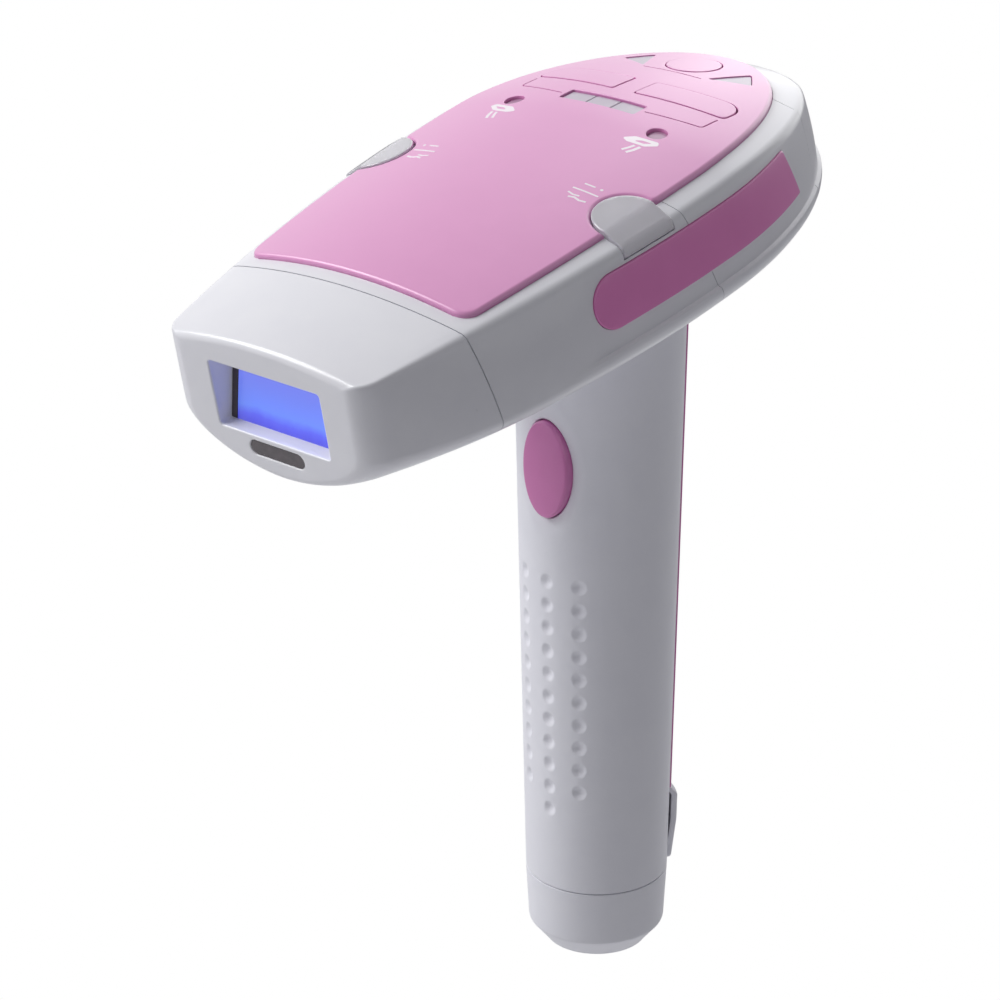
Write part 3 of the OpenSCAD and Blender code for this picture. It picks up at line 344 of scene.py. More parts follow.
def plate(outer, holes, place, top, bottom, edges=(0.35,), pitch=2.0, steps=4, work=None,
          extra=()):
    """Millimetre mesh of a plate: outlines in the plane, place(a, b, d) puts them on the surface.

    A given work mesh gets the plate's upper skin only, and the plate's lower rows are returned.
    Each outline has its own edge radius, and the last one serves those that are left. A radius
    of None leaves that outline open, level with the top. Extra points refine the surface."""
    edges = list(edges) + [edges[-1]] * len(holes)
    loops = [loop if area_of(loop) * sign > 0 else loop[::-1]
             for loop, sign in [(outer, 1)] + [(hole, -1) for hole in holes]]
    loops = [loop if edge is None else dense(loop, SPACING * pitch)
             for loop, edge in zip(loops, edges)]
    rims = [offset(loop, edge or 0.0) for loop, edge in zip(loops, edges)]
    points, links, starts = [], [], []
    for loop in rims:
        starts.append(len(points))
        links += [(len(points) + i, len(points) + (i + 1) % len(loop)) for i in range(len(loop))]
        points += loop
    sides = sides_of(rims)
    points += [p for p in extra if within(p, sides)]
    tree = search_tree(points)
    low_a, high_a = min(p[0] for p in outer), max(p[0] for p in outer)
    low_b, high_b = min(p[1] for p in outer), max(p[1] for p in outer)
    for i in range(1, int((high_a - low_a) / pitch) + 1):
        for j in range(1, int((high_b - low_b) / pitch) + 1):
            spot = (low_a + i * pitch, low_b + j * pitch)
            if tree.find((*spot, 0.0))[2] > SPACING * pitch and within(spot, sides):
                points.append(spot)
    spots, faces, origins = fill(points, links, sides)
    where = {old: new for new, olds in enumerate(origins) for old in olds}
    closed = work is None
    work = bmesh.new() if closed else work
    above = [work.verts.new(place(p.x, p.y, top)) for p in spots]
    below = [work.verts.new(place(p.x, p.y, bottom)) for p in spots] if closed else []
    lower_rows = []
    for start, loop, edge in zip(starts, loops, edges):
        row = [above[where[start + i]] for i in range(len(loop))]
        if edge is None:
            lower_rows.append((loop, row))
            continue
        for k in range(1, steps + 1):
            turn = math.pi / 2 * k / steps
            level = offset(loop, edge * (1.0 - math.sin(turn)))
            height = top - edge * (1.0 - math.cos(turn))
            lower = [work.verts.new(place(a, b, height)) for a, b in level]
            band(work, row, lower)
            row = lower
        feet = [below[where[start + i]] for i in range(len(loop))] if closed else \
            [work.verts.new((0.0, 0.0, 0.0)) for _ in loop]
        for foot, (a, b) in zip(feet, loop):
            foot.co = place(a, b, bottom)
        band(work, row, feet)
        lower_rows.append((loop, feet))
    for face in faces:
        work.faces.new([above[i] for i in face])
        if closed:
            work.faces.new([below[i] for i in reversed(face)])
    return work if closed else lower_rows


def band(work, first, second):
    """Quads between two closed rows of the same count."""
    for i in range(len(first)):
        j = (i + 1) % len(first)
        work.faces.new((first[j], first[i], second[i], second[j]))


def join(work, piece):
    """Add a piece to the work, and free the piece."""
    step = bpy.data.meshes.new("piece")
    piece.to_mesh(step)
    piece.free()
    work.from_mesh(step)
    bpy.data.meshes.remove(step)


def search_tree(points):
    """Search tree over points in a plane."""
    tree = KDTree(len(points))
    for i, p in enumerate(points):
        tree.insert((p[0], p[1], 0.0), i)
    tree.balance()
    return tree


print("plate and band builders ready")

# %% [markdown]
# ## Sections with pockets
# Each section of the head is a row of points from the crest down one side to the keel. Where
# the panel, the lens or the side inlay lies, the row steps inward, so the pockets are part of
# the shell instead of being cut later. Pairs of points at each step lie on one another where
# there is no pocket, and are merged.

# %% Section points
LENS_Y, LENS_R, LENS_T, LENS_FOLD, LENS_TURN, LENS_PROUD = -32.2, 7.9, 1.6, 5.4, 5.0, 0.3
LENS_LEAN, LENS_CLEAR = 0.4, 1.1
INLAY_FRONT, INLAY_REAR, INLAY_TOP, INLAY_LOW = 52.0, 21.0, 10.9, -1.7
SLANT, INLAY_T, INLAY_PROUD = 0.36, 1.5, 0.5
INLAY_MID, INLAY_HALF = (INLAY_TOP + INLAY_LOW) / 2, (INLAY_TOP - INLAY_LOW) / 2
CORNER, SOFT, KEEL_POWER = 3.5, 1.6, 1.8
FLAP = shoulder_z(LENS_Y - LENS_R) - INLAY_TOP - LENS_CLEAR
LIP_STEPS = ((0.05, LIP_UP), (0.25, LIP_UP - 0.08), (0.7, LIP_CREST + 0.16),
             (0.93, LIP_CREST + 0.02), (1.0, LIP_CREST - 0.14))
LIP_TOP, LIP_FOOT, INNER_TOP = LIP_UP + 0.12, 0.5, 0.96


def panel_edge(y):
    """Half width of the panel, with its rounded front corners."""
    away = y + FRONT
    if away >= CORNER:
        return half_line(y, 0.0, 0.0)
    cut = CORNER - math.sqrt(max(0.0, CORNER ** 2 - (CORNER - away) ** 2))
    return half_line(y, 0.0, 0.0) - cut


def inlay_span(y, grow):
    """Lowest and highest point of the side inlay at a station, or its middle twice."""
    from_front = (y + INLAY_FRONT + grow) / (INLAY_HALF + grow)
    if from_front <= 0.0 or y > INLAY_REAR + SLANT * (INLAY_HALF + grow) + grow:
        return INLAY_MID, INLAY_MID
    reach = (INLAY_HALF + grow) * math.sqrt(max(0.0, 1.0 - (1.0 - min(1.0, from_front)) ** 2))
    rear_cut = INLAY_MID + (INLAY_REAR + grow - y) / SLANT
    return INLAY_MID - reach, max(INLAY_MID - reach, min(INLAY_MID + reach, rear_cut))


def between(a, b, count):
    return [a + (b - a) * i / count for i in range(count + 1)]


def keel_points(full, low, keel, count=18):
    """Lower part of a section, from the fullest line round to the keel."""
    turns = [math.pi / 2 * i / count for i in range(count + 1)]
    power = 2 / KEEL_POWER
    return [(full * max(0.0, math.cos(t)) ** power, low - (low - keel) * math.sin(t) ** power)
            for t in turns]


def bend(a, corner, b, t):
    """Number at t on a soft bend from a to b that is drawn towards a corner."""
    return (1 - t) ** 2 * a + 2 * t * (1 - t) * corner + t * t * b


def section(y, sunk=False, lens=False, inlay=True):
    """Right half of a section, from the crest to the keel, with the pockets that it crosses."""
    line = half_line(y, 0.0, 0.0)
    recess = panel_edge(max(y, -FRONT)) + GAP
    if y < -FRONT - GAP:
        recess = min(recess, line)
    line = max(line, recess)
    shoulder, high, full, low = shoulder_half(y), shoulder_z(y), side_half(y), fullest_z(y)
    depth = PANEL_T + GAP if sunk else PROUD
    deck = [(x, panel_z(x, y) - depth) for x in between(0.0, recess, 12)]
    into = LENS_T + 2 * GAP if lens else 0.0
    edge = (line, panel_z(line, y) - PROUD)
    rim = [(x, panel_z(x, y) - PROUD - into) for x in between(recess, line, 3)]
    length = math.hypot(shoulder - edge[0], high - edge[1])
    soft = min(SOFT, 0.45 * length)
    before = 1.0 - soft / length
    slope = [(edge[0] + (shoulder - edge[0]) * t, edge[1] + (high - edge[1]) * t, t)
             for t in between(0.0, before, 3)]
    start, finish = slope[-1][:2], (side_x(y, high - soft), high - soft)
    turn = [(bend(start[0], shoulder, finish[0], t), bend(start[1], high, finish[1], t), 1.0)
            for t in between(0.0, 1.0, 6)[1:]]
    rim += [(x - (1.0 - LENS_LEAN) * t * into, z - (1.0 - LENS_LEAN * t) * into)
            for x, z, t in slope + turn]
    foot = high - FLAP - 2 * GAP
    inlay_low, inlay_high = inlay_span(y, GAP) if inlay else (INLAY_MID, INLAY_MID)
    flap = []
    for z in between(high - soft, foot, 5):
        share = max(0.0, 1.0 - (high - z) / LENS_TURN)
        flap.append((side_x(y, z) - into * (1.0 - LENS_LEAN * share),
                     z - into * (1.0 - LENS_LEAN) * share))
    wall = [(side_x(y, z), z) for z in between(foot, inlay_high, 6)]
    pocket = INLAY_T - INLAY_PROUD + GAP if inlay_high > inlay_low else 0.0
    wall += [(side_x(y, z) - pocket, z) for z in between(inlay_high, inlay_low, 10)]
    wall += [(side_x(y, z), z) for z in between(inlay_low, low + LIP_TOP, 4)]
    inner = side_x(y, low + LIP_UP)
    outer = full - (full - shoulder) * (LIP_CREST / (high - low)) ** 2
    wall += [(inner + share * (outer - inner), low + up) for share, up in LIP_STEPS]
    wall.append((full, low + LIP_FOOT))
    return deck + rim + flap + wall + keel_points(full, low, keel_z(y))


def inner_section(y):
    """Right half of the inside of the shell."""
    line, full, low = half_line(y, 0.0, 0.0), side_half(y) - WALL, fullest_z(y)
    shoulder, high = shoulder_half(y) - WALL, shoulder_z(y) - 0.7 * WALL
    top = [(x, panel_z(x, y) - PROUD - WALL) for x in between(0.0, line - 0.3 * WALL, 8)]
    upper, foot = wall_half(y) - WALL, LIP_UP / (high - low)
    wall = [(upper - (upper - shoulder) * q * q, low + (high - low) * q)
            for q in between(INNER_TOP, foot, 8)]
    return top + wall + keel_points(full, low, keel_z(y) + WALL)


def closed_ring(half):
    """Both halves of a section as one loop."""
    return half + [(-x, z) for x, z in half[-2:0:-1]]


def tube(work, stations, make):
    """Skin through sections: make(*station) gives a half section, and y comes first."""
    rows = [[work.verts.new((x, station[0], z)) for x, z in closed_ring(make(*station))]
            for station in stations]
    for first, second in zip(rows, rows[1:]):
        band(work, first, second)


print("points in a section:", len(closed_ring(section(-20.0))))

# %% Stations along the head
PANEL_END, LENS_A, LENS_B = -FRONT - GAP, LENS_Y - LENS_R - 2 * GAP, LENS_Y + LENS_R + 2 * GAP
PANEL_STEPS = (0.03, 0.1, 0.25, 0.5, 0.8, 1.2, 1.7, 2.3, 3.0, 3.65)
RUNS = ((-110.4, PANEL_END, 16), (-77.9, -53.6, 14), (-44.0, LENS_A, 3), (LENS_A, LENS_B, 12),
        (LENS_B, 17.9, 24), (17.9, 24.1, 14), (24.1, 34.8, 7))


def station_list():
    """Stations with the pockets that they cross; each pocket's end is listed twice."""
    ys = {y for run in RUNS for y in between(*run)} | {PANEL_END + d for d in PANEL_STEPS}
    ys |= {-INLAY_FRONT - GAP + (INLAY_HALF + GAP) * (1.0 - math.cos(t))
           for t in between(0.0, math.pi / 2, 16)}
    made = []
    for y in sorted(ys):
        if made and y - made[-1][0] < 1e-4:
            continue
        tags = [(y > PANEL_END, LENS_A < y < LENS_B)]
        if y == PANEL_END:
            tags = [(False, False), (True, False)]
        if y in (LENS_A, LENS_B):
            tags = [(True, y == LENS_B), (True, y == LENS_A)]
        made += [(y, *tag) for tag in tags]
    return made


STATIONS = station_list()
print("stations:", len(STATIONS))

# %% Shells between leaning seams
SEAM_Z, INNER_FRONT = 15.0, -109.0


def seam(y, tilt):
    """Point and normal of a seam plane that leans forward at its top."""
    lean = math.radians(tilt)
    return Vector((0.0, y, SEAM_Z)), Vector((0.0, math.cos(lean), math.sin(lean)))


def cut_off(work, at, normal):
    """Merge the points of a skin and cut off what lies beyond a plane."""
    bmesh.ops.remove_doubles(work, verts=work.verts, dist=MERGE)
    bmesh.ops.bisect_plane(work, geom=work.verts[:] + work.edges[:] + work.faces[:], dist=1e-6,
                           plane_co=at, plane_no=normal, clear_outer=True)


def close_ends(work, planes):
    """Fill the flat rim between the outer and the inner skin where they end on a plane."""
    for at, normal in planes:
        rim = [e for e in work.edges if e.is_boundary
               and all(abs((v.co - at).dot(normal)) < 1e-3 for v in e.verts)]
        corners = list({v: None for e in rim for v in e.verts})
        number = {v: i for i, v in enumerate(corners)}
        up = normal.cross(Vector((1.0, 0.0, 0.0)))
        flat = [Vector((v.co.x, (v.co - at).dot(up))) for v in corners]
        links = [(number[e.verts[0]], number[e.verts[1]]) for e in rim]
        _, faces, origins = fill(flat, links, [(flat[a], flat[b]) for a, b in links])
        for face in faces:
            work.faces.new([corners[origins[i][0]] for i in face])


def shell(first, last, front, rear, cut_rear=True):
    """Head shell between two seams, from the stations first to last.

    A shell that ends on its last station needs no cut at the rear."""
    work = bmesh.new()
    tube(work, [s for s in STATIONS if first <= s[0] <= last], section)
    tube(work, [(y,) for y in between(first, last, 30)], inner_section)
    cut_off(work, front[0], -front[1])
    if cut_rear:
        cut_off(work, *rear)
    close_ends(work, [front, rear])
    return work


front_work = shell(-92.0, -4.0, seam(-84.8, 9.0), seam(-21.2, 17.0))
rear_work = shell(-28.0, 34.8, seam(-21.0, 17.0), seam(34.8, 0.0), cut_rear=False)
print("faces of the casings:", len(front_work.faces), len(rear_work.faces))

# %% Nose: the face with its window, and the tube behind it
QUARTERS = ((1, 1), (-1, 1), (-1, -1), (1, -1))


def rounded(points, radii, count=8):
    """Outline through corner points, each rounded by its radius."""
    loop = []
    befores, afters = points[-1:] + points[:-1], points[1:] + points[:1]
    for before, here, after, radius in zip(befores, points, afters, radii):
        corner = Vector(here)
        to_a, to_b = (Vector(p) - corner for p in (before, after))
        to_a, to_b = to_a.normalized(), to_b.normalized()
        half = to_a.angle(to_b) / 2
        start, finish = (corner + to * radius / math.tan(half) for to in (to_a, to_b))
        centre = corner + (to_a + to_b).normalized() * radius / math.sin(half)
        turn = (start - centre).angle_signed(finish - centre) if radius > 0 else 0.0
        for t in between(0.0, 1.0, count):
            arm = (start - centre).copy()
            arm.rotate(Matrix.Rotation(-turn * t, 2))
            loop.append(tuple(centre + arm))
    return loop


def rounded_box(w, h, centre, radius, count=6):
    """Outline of a box with rounded corners."""
    corners = [(centre[0] + sx * w / 2, centre[1] + sy * h / 2) for sx, sy in QUARTERS]
    return rounded(corners, [radius] * 4, count)


FACE_ROUND, SIDE_ROUND = 1.6, 5.0
ROUND_STEPS = (0.0, 0.04, 0.12, 0.25, 0.45, 0.7, 1.0, 1.3, 1.6, 2.1, 2.7, 3.4, 4.2)
NOSE_SEAM, NOSE_END = seam(-85.1, 9.0), -78.0
WINDOW_W, WINDOW_H, WINDOW_Z = 33.0, 16.0, 0.5
WINDOW = rounded_box(WINDOW_W, WINDOW_H, (0.0, WINDOW_Z), 0.8)
SENSOR = rounded_box(16.3, 3.7, (0.0, -10.6), 1.84, 10)


def round_in(radius, depth):
    """How far a rounded edge lies in from its side, at a depth behind the face."""
    return radius - math.sqrt(radius ** 2 - (radius - depth) ** 2) if depth < radius else 0.0


def nose_section(y):
    """Section near the face: rounded widely at the sides and tightly at the top and foot."""
    half, depth = section(y, inlay=False), y + REACH
    middle, tall = (half[0][1] + half[-1][1]) / 2, (half[0][1] - half[-1][1]) / 2
    narrow = 1.0 - round_in(SIDE_ROUND, depth) / side_half(y)
    low = 1.0 - round_in(FACE_ROUND, depth) / tall
    return [(x * narrow, middle + (z - middle) * low) for x, z in half]


nose_work = bmesh.new()
nose_ys = [-REACH + d for d in ROUND_STEPS] + between(-REACH + SIDE_ROUND, NOSE_END, 18)
tube(nose_work, [(y,) for y in nose_ys], nose_section)
tube(nose_work, [(y,) for y in between(INNER_FRONT, NOSE_END, 12)], inner_section)
cut_off(nose_work, *NOSE_SEAM)
close_ends(nose_work, [NOSE_SEAM])
print("faces of the nose's tube:", len(nose_work.faces))

# %% Rear cap from level lines
ARC, SLOPE_END = 64, 0.7


def cap_line(side_w, rear_y):
    """Line round the back of the head, from seam to seam."""
    long = rear_y - WIDEST
    start = math.asin((REAR_SEAM - WIDEST) / long)
    return [(side_w * math.cos(a), WIDEST + long * math.sin(a))
            for a in between(start, math.pi - start, ARC)]


def shrunk(line, share):
    """Line drawn in towards the middle of the seam."""
    return [(x * share, REAR_SEAM + (y - REAR_SEAM) * share) for x, y in line]


def mixed(a, b, t):
    """Line between two others, at a share of the way."""
    return [(p[0] + (q[0] - p[0]) * t, p[1] + (q[1] - p[1]) * t) for p, q in zip(a, b)]


def deck_depth(inset):
    """Depth of the cap's deck below the panel's top."""
    return PANEL_T + GAP if inset == 0.0 else PROUD + inset


def cap_wall(full, shoulder, shares, heights):
    """Level line on the cap's wall, at its share of the way up and its height."""
    return [(f[0] - (f[0] - s[0]) * q * q, f[1] - (f[1] - s[1]) * q * q, z)
            for f, s, q, z in zip(full, shoulder, shares, heights)]


def cap_levels(inset):
    """Level lines of the cap's outside, or of its inside when there is an inset."""
    grow = GAP if inset == 0.0 else -0.3 * inset
    edge = cap_line(HALF + grow, REAR + grow)
    shoulder = cap_line(HALF + RIM - inset, REAR + REAR_RIM - inset)
    full = cap_line(HALF + RIM + FLARE - LIP - inset, REAR + REAR_REACH - LIP - inset)
    wide = cap_line(HALF + RIM + FLARE - inset, REAR + REAR_REACH - inset)
    high = [shoulder_z(y) - 0.7 * inset for x, y in shoulder]
    low = fullest_z(REAR_SEAM)
    made = [[(x, y, panel_z(x, y) - deck_depth(inset)) for x, y in shrunk(edge, share)]
            for share in between(0.0, 1.0, 10)[1:]]
    tops = [INNER_TOP] * (ARC + 1)
    if inset == 0.0:
        rim = [panel_z(x, y) - PROUD for x, y in edge]
        for t in between(0.0, SLOPE_END, 4):
            made.append([(x, y, a + (b - a) * t)
                         for (x, y), a, b in zip(mixed(edge, shoulder, t), rim, high)])
        tops = [1.0 - SOFT / (h - low) for h in high]
        corners = [(x, y, h) for (x, y), h in zip(shoulder, high)]
        ends = cap_wall(full, shoulder, tops, [h - SOFT for h in high])
        rows = list(zip(made[-1], corners, ends))
        for t in between(0.0, 1.0, 6)[1:]:
            made.append([[bend(*way, t) for way in zip(*row)] for row in rows])
    for t in between(1.0, 0.0, 14)[1:]:
        heights = [LIP_TOP + ((h - low) * q - LIP_TOP) * t for q, h in zip(tops, high)]
        shares = [z / (h - low) for z, h in zip(heights, high)]
        made.append(cap_wall(full, shoulder, shares, [low + z for z in heights]))
    for t, z in LIP_STEPS + ((1.0, LIP_FOOT), (1.0, 0.0)):
        made.append([(x, y, low + z) for x, y in mixed(full, wide, t)])
    for share, sink in keel_points(1.0, 0.0, -1.0, 16)[1:-1]:
        made.append([(x, y, low + (low - keel_z(y) - inset) * sink)
                     for x, y in shrunk(wide, share)])
    return made


def cap_skin(work, inset):
    """Skin over the level lines, closed at the crest and at the keel."""
    rows = [[work.verts.new(p) for p in line] for line in cap_levels(inset)]
    crest = panel_z(0.0, REAR_SEAM) - deck_depth(inset)
    for z, row in ((crest, rows[0]), (keel_z(REAR_SEAM) + inset, rows[-1])):
        tip = work.verts.new((0.0, REAR_SEAM, z))
        for a, b in zip(row, row[1:]):
            work.faces.new((tip, a, b))
    for first, second in zip(rows, rows[1:]):
        for k in range(ARC):
            work.faces.new((first[k], first[k + 1], second[k + 1], second[k]))


cap_work = bmesh.new()
cap_skin(cap_work, 0.0)
cap_skin(cap_work, WALL)
close_ends(cap_work, [seam(REAR_SEAM, 0.0)])
print("faces of the rear cap:", len(cap_work.faces))

# %% The nose's face and the funnel of its window
FUNNEL_DEEP, FUNNEL_DRAFT = 6.6, 1.5


def on_face(x, z, d):
    """Point of the flat face, d in front of it."""
    return (x, -REACH - d, z)


face_loop = closed_ring(nose_section(-REACH))
face_loop = [p for p, q in pairs(face_loop) if math.dist(p, q) > 1e-4]
face_rows = plate(face_loop, [WINDOW, SENSOR], on_face, 0.0, -FACE_ROUND, edges=(None, 0.5, 0.3),
                  pitch=4.0, steps=6, work=nose_work)
for (loop, row), deep, draft in zip(face_rows[1:], (FUNNEL_DEEP, 2.7), (FUNNEL_DRAFT, 0.0)):
    inner = [nose_work.verts.new(on_face(x, z, -deep)) for x, z in offset(loop, -draft)]
    band(nose_work, row, inner)
print("faces of the nose:", len(nose_work.faces))

# %% [markdown]
# ## Plastics, glass and metal
# White shells and pink trim are glossy mouldings with slightly different grain; the side
# inlays' pink is lifted as painted light against the shade on the head's sides. The lenses
# are clear plastic, the window is a filter glass that is tinted blue and has a painted glow,
# and the inner pieces, which show when the cartridge slides out, have simple metal, nylon
# and board materials.

# %% Plastics
WHITE = moulded("white_abs", "#f1f1f6", "#ebebf2", 0.30, 0.5, 0.006, coat=0.25)
GRIP_WHITE = moulded("white_abs_grip", "#eeeef4", "#e8e8f0", 0.42, 0.45, 0.012)
PINK = moulded("pink_abs", "#d97fbb", "#d378b5", 0.32, 0.5, 0.006, coat=0.3)
PANEL_PINK = moulded("pink_abs_panel", "#e698ce", "#e192c9", 0.36, 0.5, 0.002, coat=1.0,
                     Coat_Roughness=0.38)
# Painted light: the side inlays' pink is lighter than the trigger's, to lift the shade on the
# head's sides.
INLAY_PINK_PAINTED_LIGHT = moulded("pink_abs_inlay", "#f088cc", "#ea82c6", 0.32, 0.5, 0.006, coat=0.3)
SOFT_PINK = moulded("pink_abs_grip", "#d680b8", "#d07ab2", 0.45, 0.6, 0.02)
CLEAR = moulded("clear_polycarbonate", "#eceaf0", "#e5e3eb", 0.15, 0.9, 0.003, coat=0.3,
                Transmission_Weight=0.42, IOR=1.58)
DIFFUSER = moulded("diffuser_polycarbonate", "#cdc3d1", "#c4b9c9", 0.30, 0.8, 0.004, coat=0.2)
TINTED = moulded("tinted_polycarbonate", "#bd96b2", "#b48ca9", 0.28, 0.7, 0.004, coat=0.2)
DARK = moulded("dark_polycarbonate", "#584a52", "#262329", 0.2, 0.6, 0.004, coat=0.5, mottle_mm=2.4)
print("plastics:", WHITE.name, PINK.name, CLEAR.name)

# %% Objects from the shells
SLOTS = {part["node"]: part["material_slot"] for part in frame["record"]["subparts"]}


def carved(mesh, tool):
    """Mesh with a closed tool mesh cut out of it."""
    pair = [new_object("solid", mesh), new_object("cutter", tool)]
    step = pair[0].modifiers.new("cut", "BOOLEAN")
    step.operation, step.solver, step.object = "DIFFERENCE", "EXACT", pair[1]
    graph = bpy.context.evaluated_depsgraph_get()
    made = bpy.data.meshes.new_from_object(pair[0].evaluated_get(graph))
    for item in pair:
        bpy.data.objects.remove(item)
    return made


def shape(name, work, looks, body, nodes, frame_matrix=HEAD, sharp=SHARP_DEG, tool=None):
    """Object from millimetre work that takes the place of frame nodes."""
    mesh = mesh_from(name, work, frame_matrix)
    if tool is not None:
        mesh = carved(mesh, mesh_from("tool", tool, frame_matrix))
    made = finish_mesh(name, mesh, looks, body, sharp)
    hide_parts(*nodes)
    return made


shape("nose_moulding", nose_work, WHITE, "cartridge", ["nose_shell"])
shape("front_moulding", front_work, WHITE, "housing", ["front_casing"])
shape("rear_moulding", rear_work, WHITE, "housing", ["rear_casing"])
VENTS, VENT_W, VENT_H, VENT_Z, VENT_STEP = 3, 42.0, 1.8, -3.8, 3.7
slots = bmesh.new()
for i in range(VENTS):
    loop = rounded_box(VENT_W, VENT_H, (0.0, VENT_Z + VENT_STEP * i), 0.85)
    near, far = ([slots.verts.new((x, y, z)) for x, z in loop] for y in (37.4, 66.0))
    band(slots, near, far)
    slots.faces.new(near)
    slots.faces.new(far)
back = shape("back_moulding", cap_work, WHITE, "housing", ["rear_cap"], tool=slots)
print("vents:", VENTS, "faces of the back:", len(back.data.polygons))

# %% [markdown]
# ## Panel, keys and lenses
# The coloured panel is one plate with holes for the keys and lights. Its outline follows the
# head's curves, with a round notch at each ready light. The keys and lights use the same
# outlines, made smaller by a narrow gap.

# %% Outlines of the controls
def circle(centre, radius, count=48):
    turns = [2 * math.pi * k / count for k in range(count)]
    return [(centre[0] + radius * math.cos(t), centre[1] + radius * math.sin(t)) for t in turns]


def mirrored(loop):
    return [(-x, y) for x, y in loop]


def both(loop):
    return [loop, mirrored(loop)]


def key_outline(grow):
    """Right key: a long box with one wide corner, sheared to follow the panel's edge."""
    low, high = (KEY_LOW[0] - grow, KEY_LOW[1] - grow), (KEY_HIGH[0] + grow, KEY_HIGH[1] + grow)
    loop = rounded([low, (high[0], low[1]), high, (low[0], high[1])], [0.8, 1.2, 5.5, 0.8])
    return [(x, y + KEY_SHEAR * x) for x, y in loop]


def mode_outline(grow):
    """Right mode lens: a wedge that grows about its middle."""
    size = 1.0 + grow / MODE_IN
    corners = [tuple(m + (c - m) * size for c, m in zip(corner, MODE_MID)) for corner in MODE]
    return rounded(corners, [0.25, 0.5, 0.5])


def groove(points, width=0.36):
    """Outline of a narrow groove along a line."""
    way = [Vector(p) for p in points]
    left = []
    for before, here, after in zip(way[:1] + way[:-1], way, way[1:] + way[-1:]):
        along = (after - before).normalized()
        left.append(Vector((-along.y, along.x)) * width / 2)
    there = [tuple(p + s) for p, s in zip(way, left)]
    return there + [tuple(p - s) for p, s in zip(way, left)][::-1]


KEY_LOW, KEY_HIGH, KEY_SHEAR, KEY_GAP = (3.3, 12.0), (27.5, 20.3), 0.08, 0.3
POWER = ((0.0, 38.0), 6.5)
MODE, MODE_MID, MODE_IN = [(9.9, 31.2), (19.0, 35.4), (14.4, 41.2)], (15.0, 36.35), 2.54
STATUS = ((21.3, -2.0), 2.3)
LEVEL_W, LEVEL_H, LEVEL_Y = 22.0, 5.0, 4.8
print("key outline points:", len(key_outline(0.0)))

# %% The panel
NOTCH_R, NOTCH_TURN = LENS_R + 0.45, math.pi / 2 - 0.03


def panel_outline():
    """Outline of the panel with a notch at each ready light."""
    ys = [-FRONT + CORNER * (1.0 - math.cos(t)) for t in between(0.0, math.pi / 2, 10)]
    ys += between(-77.0, WIDEST, 40)[:-1]
    edge = [(panel_edge(y), y) for y in ys]
    edge += [(HALF * math.cos(a), WIDEST + (REAR - WIDEST) * math.sin(a))
             for a in between(0.0, math.pi / 2, 60)]
    centre = (half_line(LENS_Y, 0.0, 0.0), LENS_Y)
    clear = [p for p in edge if math.dist(p, centre) > NOTCH_R + 0.3]
    arc = [(centre[0] - NOTCH_R * math.cos(t), centre[1] - NOTCH_R * math.sin(t))
           for t in between(NOTCH_TURN, -NOTCH_TURN, 32)]
    right = [p for p in clear if p[1] < LENS_Y] + arc + [p for p in clear if p[1] > LENS_Y]
    return right + mirrored(right[-2::-1])


def on_panel(x, y, d):
    return (x, y, panel_z(x, y) + d)


PANEL_EDGE, KEY_EDGE, GROOVE_EDGE, CRISP = 0.8, 0.14, 0.06, 12.0
grooves = both(groove([(12.4, 4.75), (26.5, 6.9), (26.95, 7.5), (27.0, 12.6)]))
grooves.append(groove([(-8.7, 29.9), (0.0, 29.9), (8.7, 29.9)]))
holes = both(key_outline(KEY_GAP)) + both(circle(STATUS[0], STATUS[1] + GAP))
holes += both(mode_outline(GAP)) + [circle(POWER[0], POWER[1] + KEY_GAP, 64)]
holes.append(rounded_box(LEVEL_W + 2 * GAP, LEVEL_H + 2 * GAP, (0.0, LEVEL_Y), 0.5))
panel_edges = [PANEL_EDGE] + [KEY_EDGE] * len(holes) + [GROOVE_EDGE] * len(grooves)
panel_work = plate(panel_outline(), holes + grooves, on_panel, 0.0, -PANEL_T,
                   edges=panel_edges, pitch=1.8, steps=6)
panel = shape("panel_moulding", panel_work, PANEL_PINK, "housing", ["top_panel"])
print("faces of the panel:", len(panel.data.polygons))

# %% Keys and lights in the panel
KEY_UP, KEY_DOWN, STATUS_SUNK, MODE_SUNK, LEVEL_SUNK = 0.12, -1.1, 0.8, 0.25, 0.5
SIDES = (("right", list), ("left", mirrored))
for side, loop in (("right", key_outline(0.0)), ("left", mirrored(key_outline(0.0))),
                   ("power", circle(*POWER, 64))):
    cap = plate(loop, [], on_panel, KEY_UP, KEY_DOWN, edges=(KEY_EDGE,), pitch=1.6)
    shape(side + "_key_cap", cap, PANEL_PINK, side + "_key", [side + "_button"], sharp=CRISP)
for side, turn in SIDES:
    for name, loop, sunk, looks in (("status_lens_", circle(*STATUS, 40), STATUS_SUNK, TINTED),
                                    ("mode_lens_", mode_outline(0.0), MODE_SUNK, DIFFUSER)):
        lens = plate(turn(loop), [], on_panel, -sunk, -PANEL_T, edges=(0.15,), pitch=1.0)
        shape(name + side + "_moulding", lens, looks, "housing", [name + side], sharp=CRISP)
for i, letter in enumerate("abc"):
    bar = rounded_box(LEVEL_W / 3 - 0.2, LEVEL_H, ((i - 1) * LEVEL_W / 3, LEVEL_Y), 0.4)
    bar = plate(bar, [], on_panel, -LEVEL_SUNK, -PANEL_T, edges=(0.3,), pitch=1.2)
    finish_mesh("level_bar_" + letter, mesh_from("level_bar", bar, HEAD),
                                   DIFFUSER, "housing")
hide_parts("level_window")

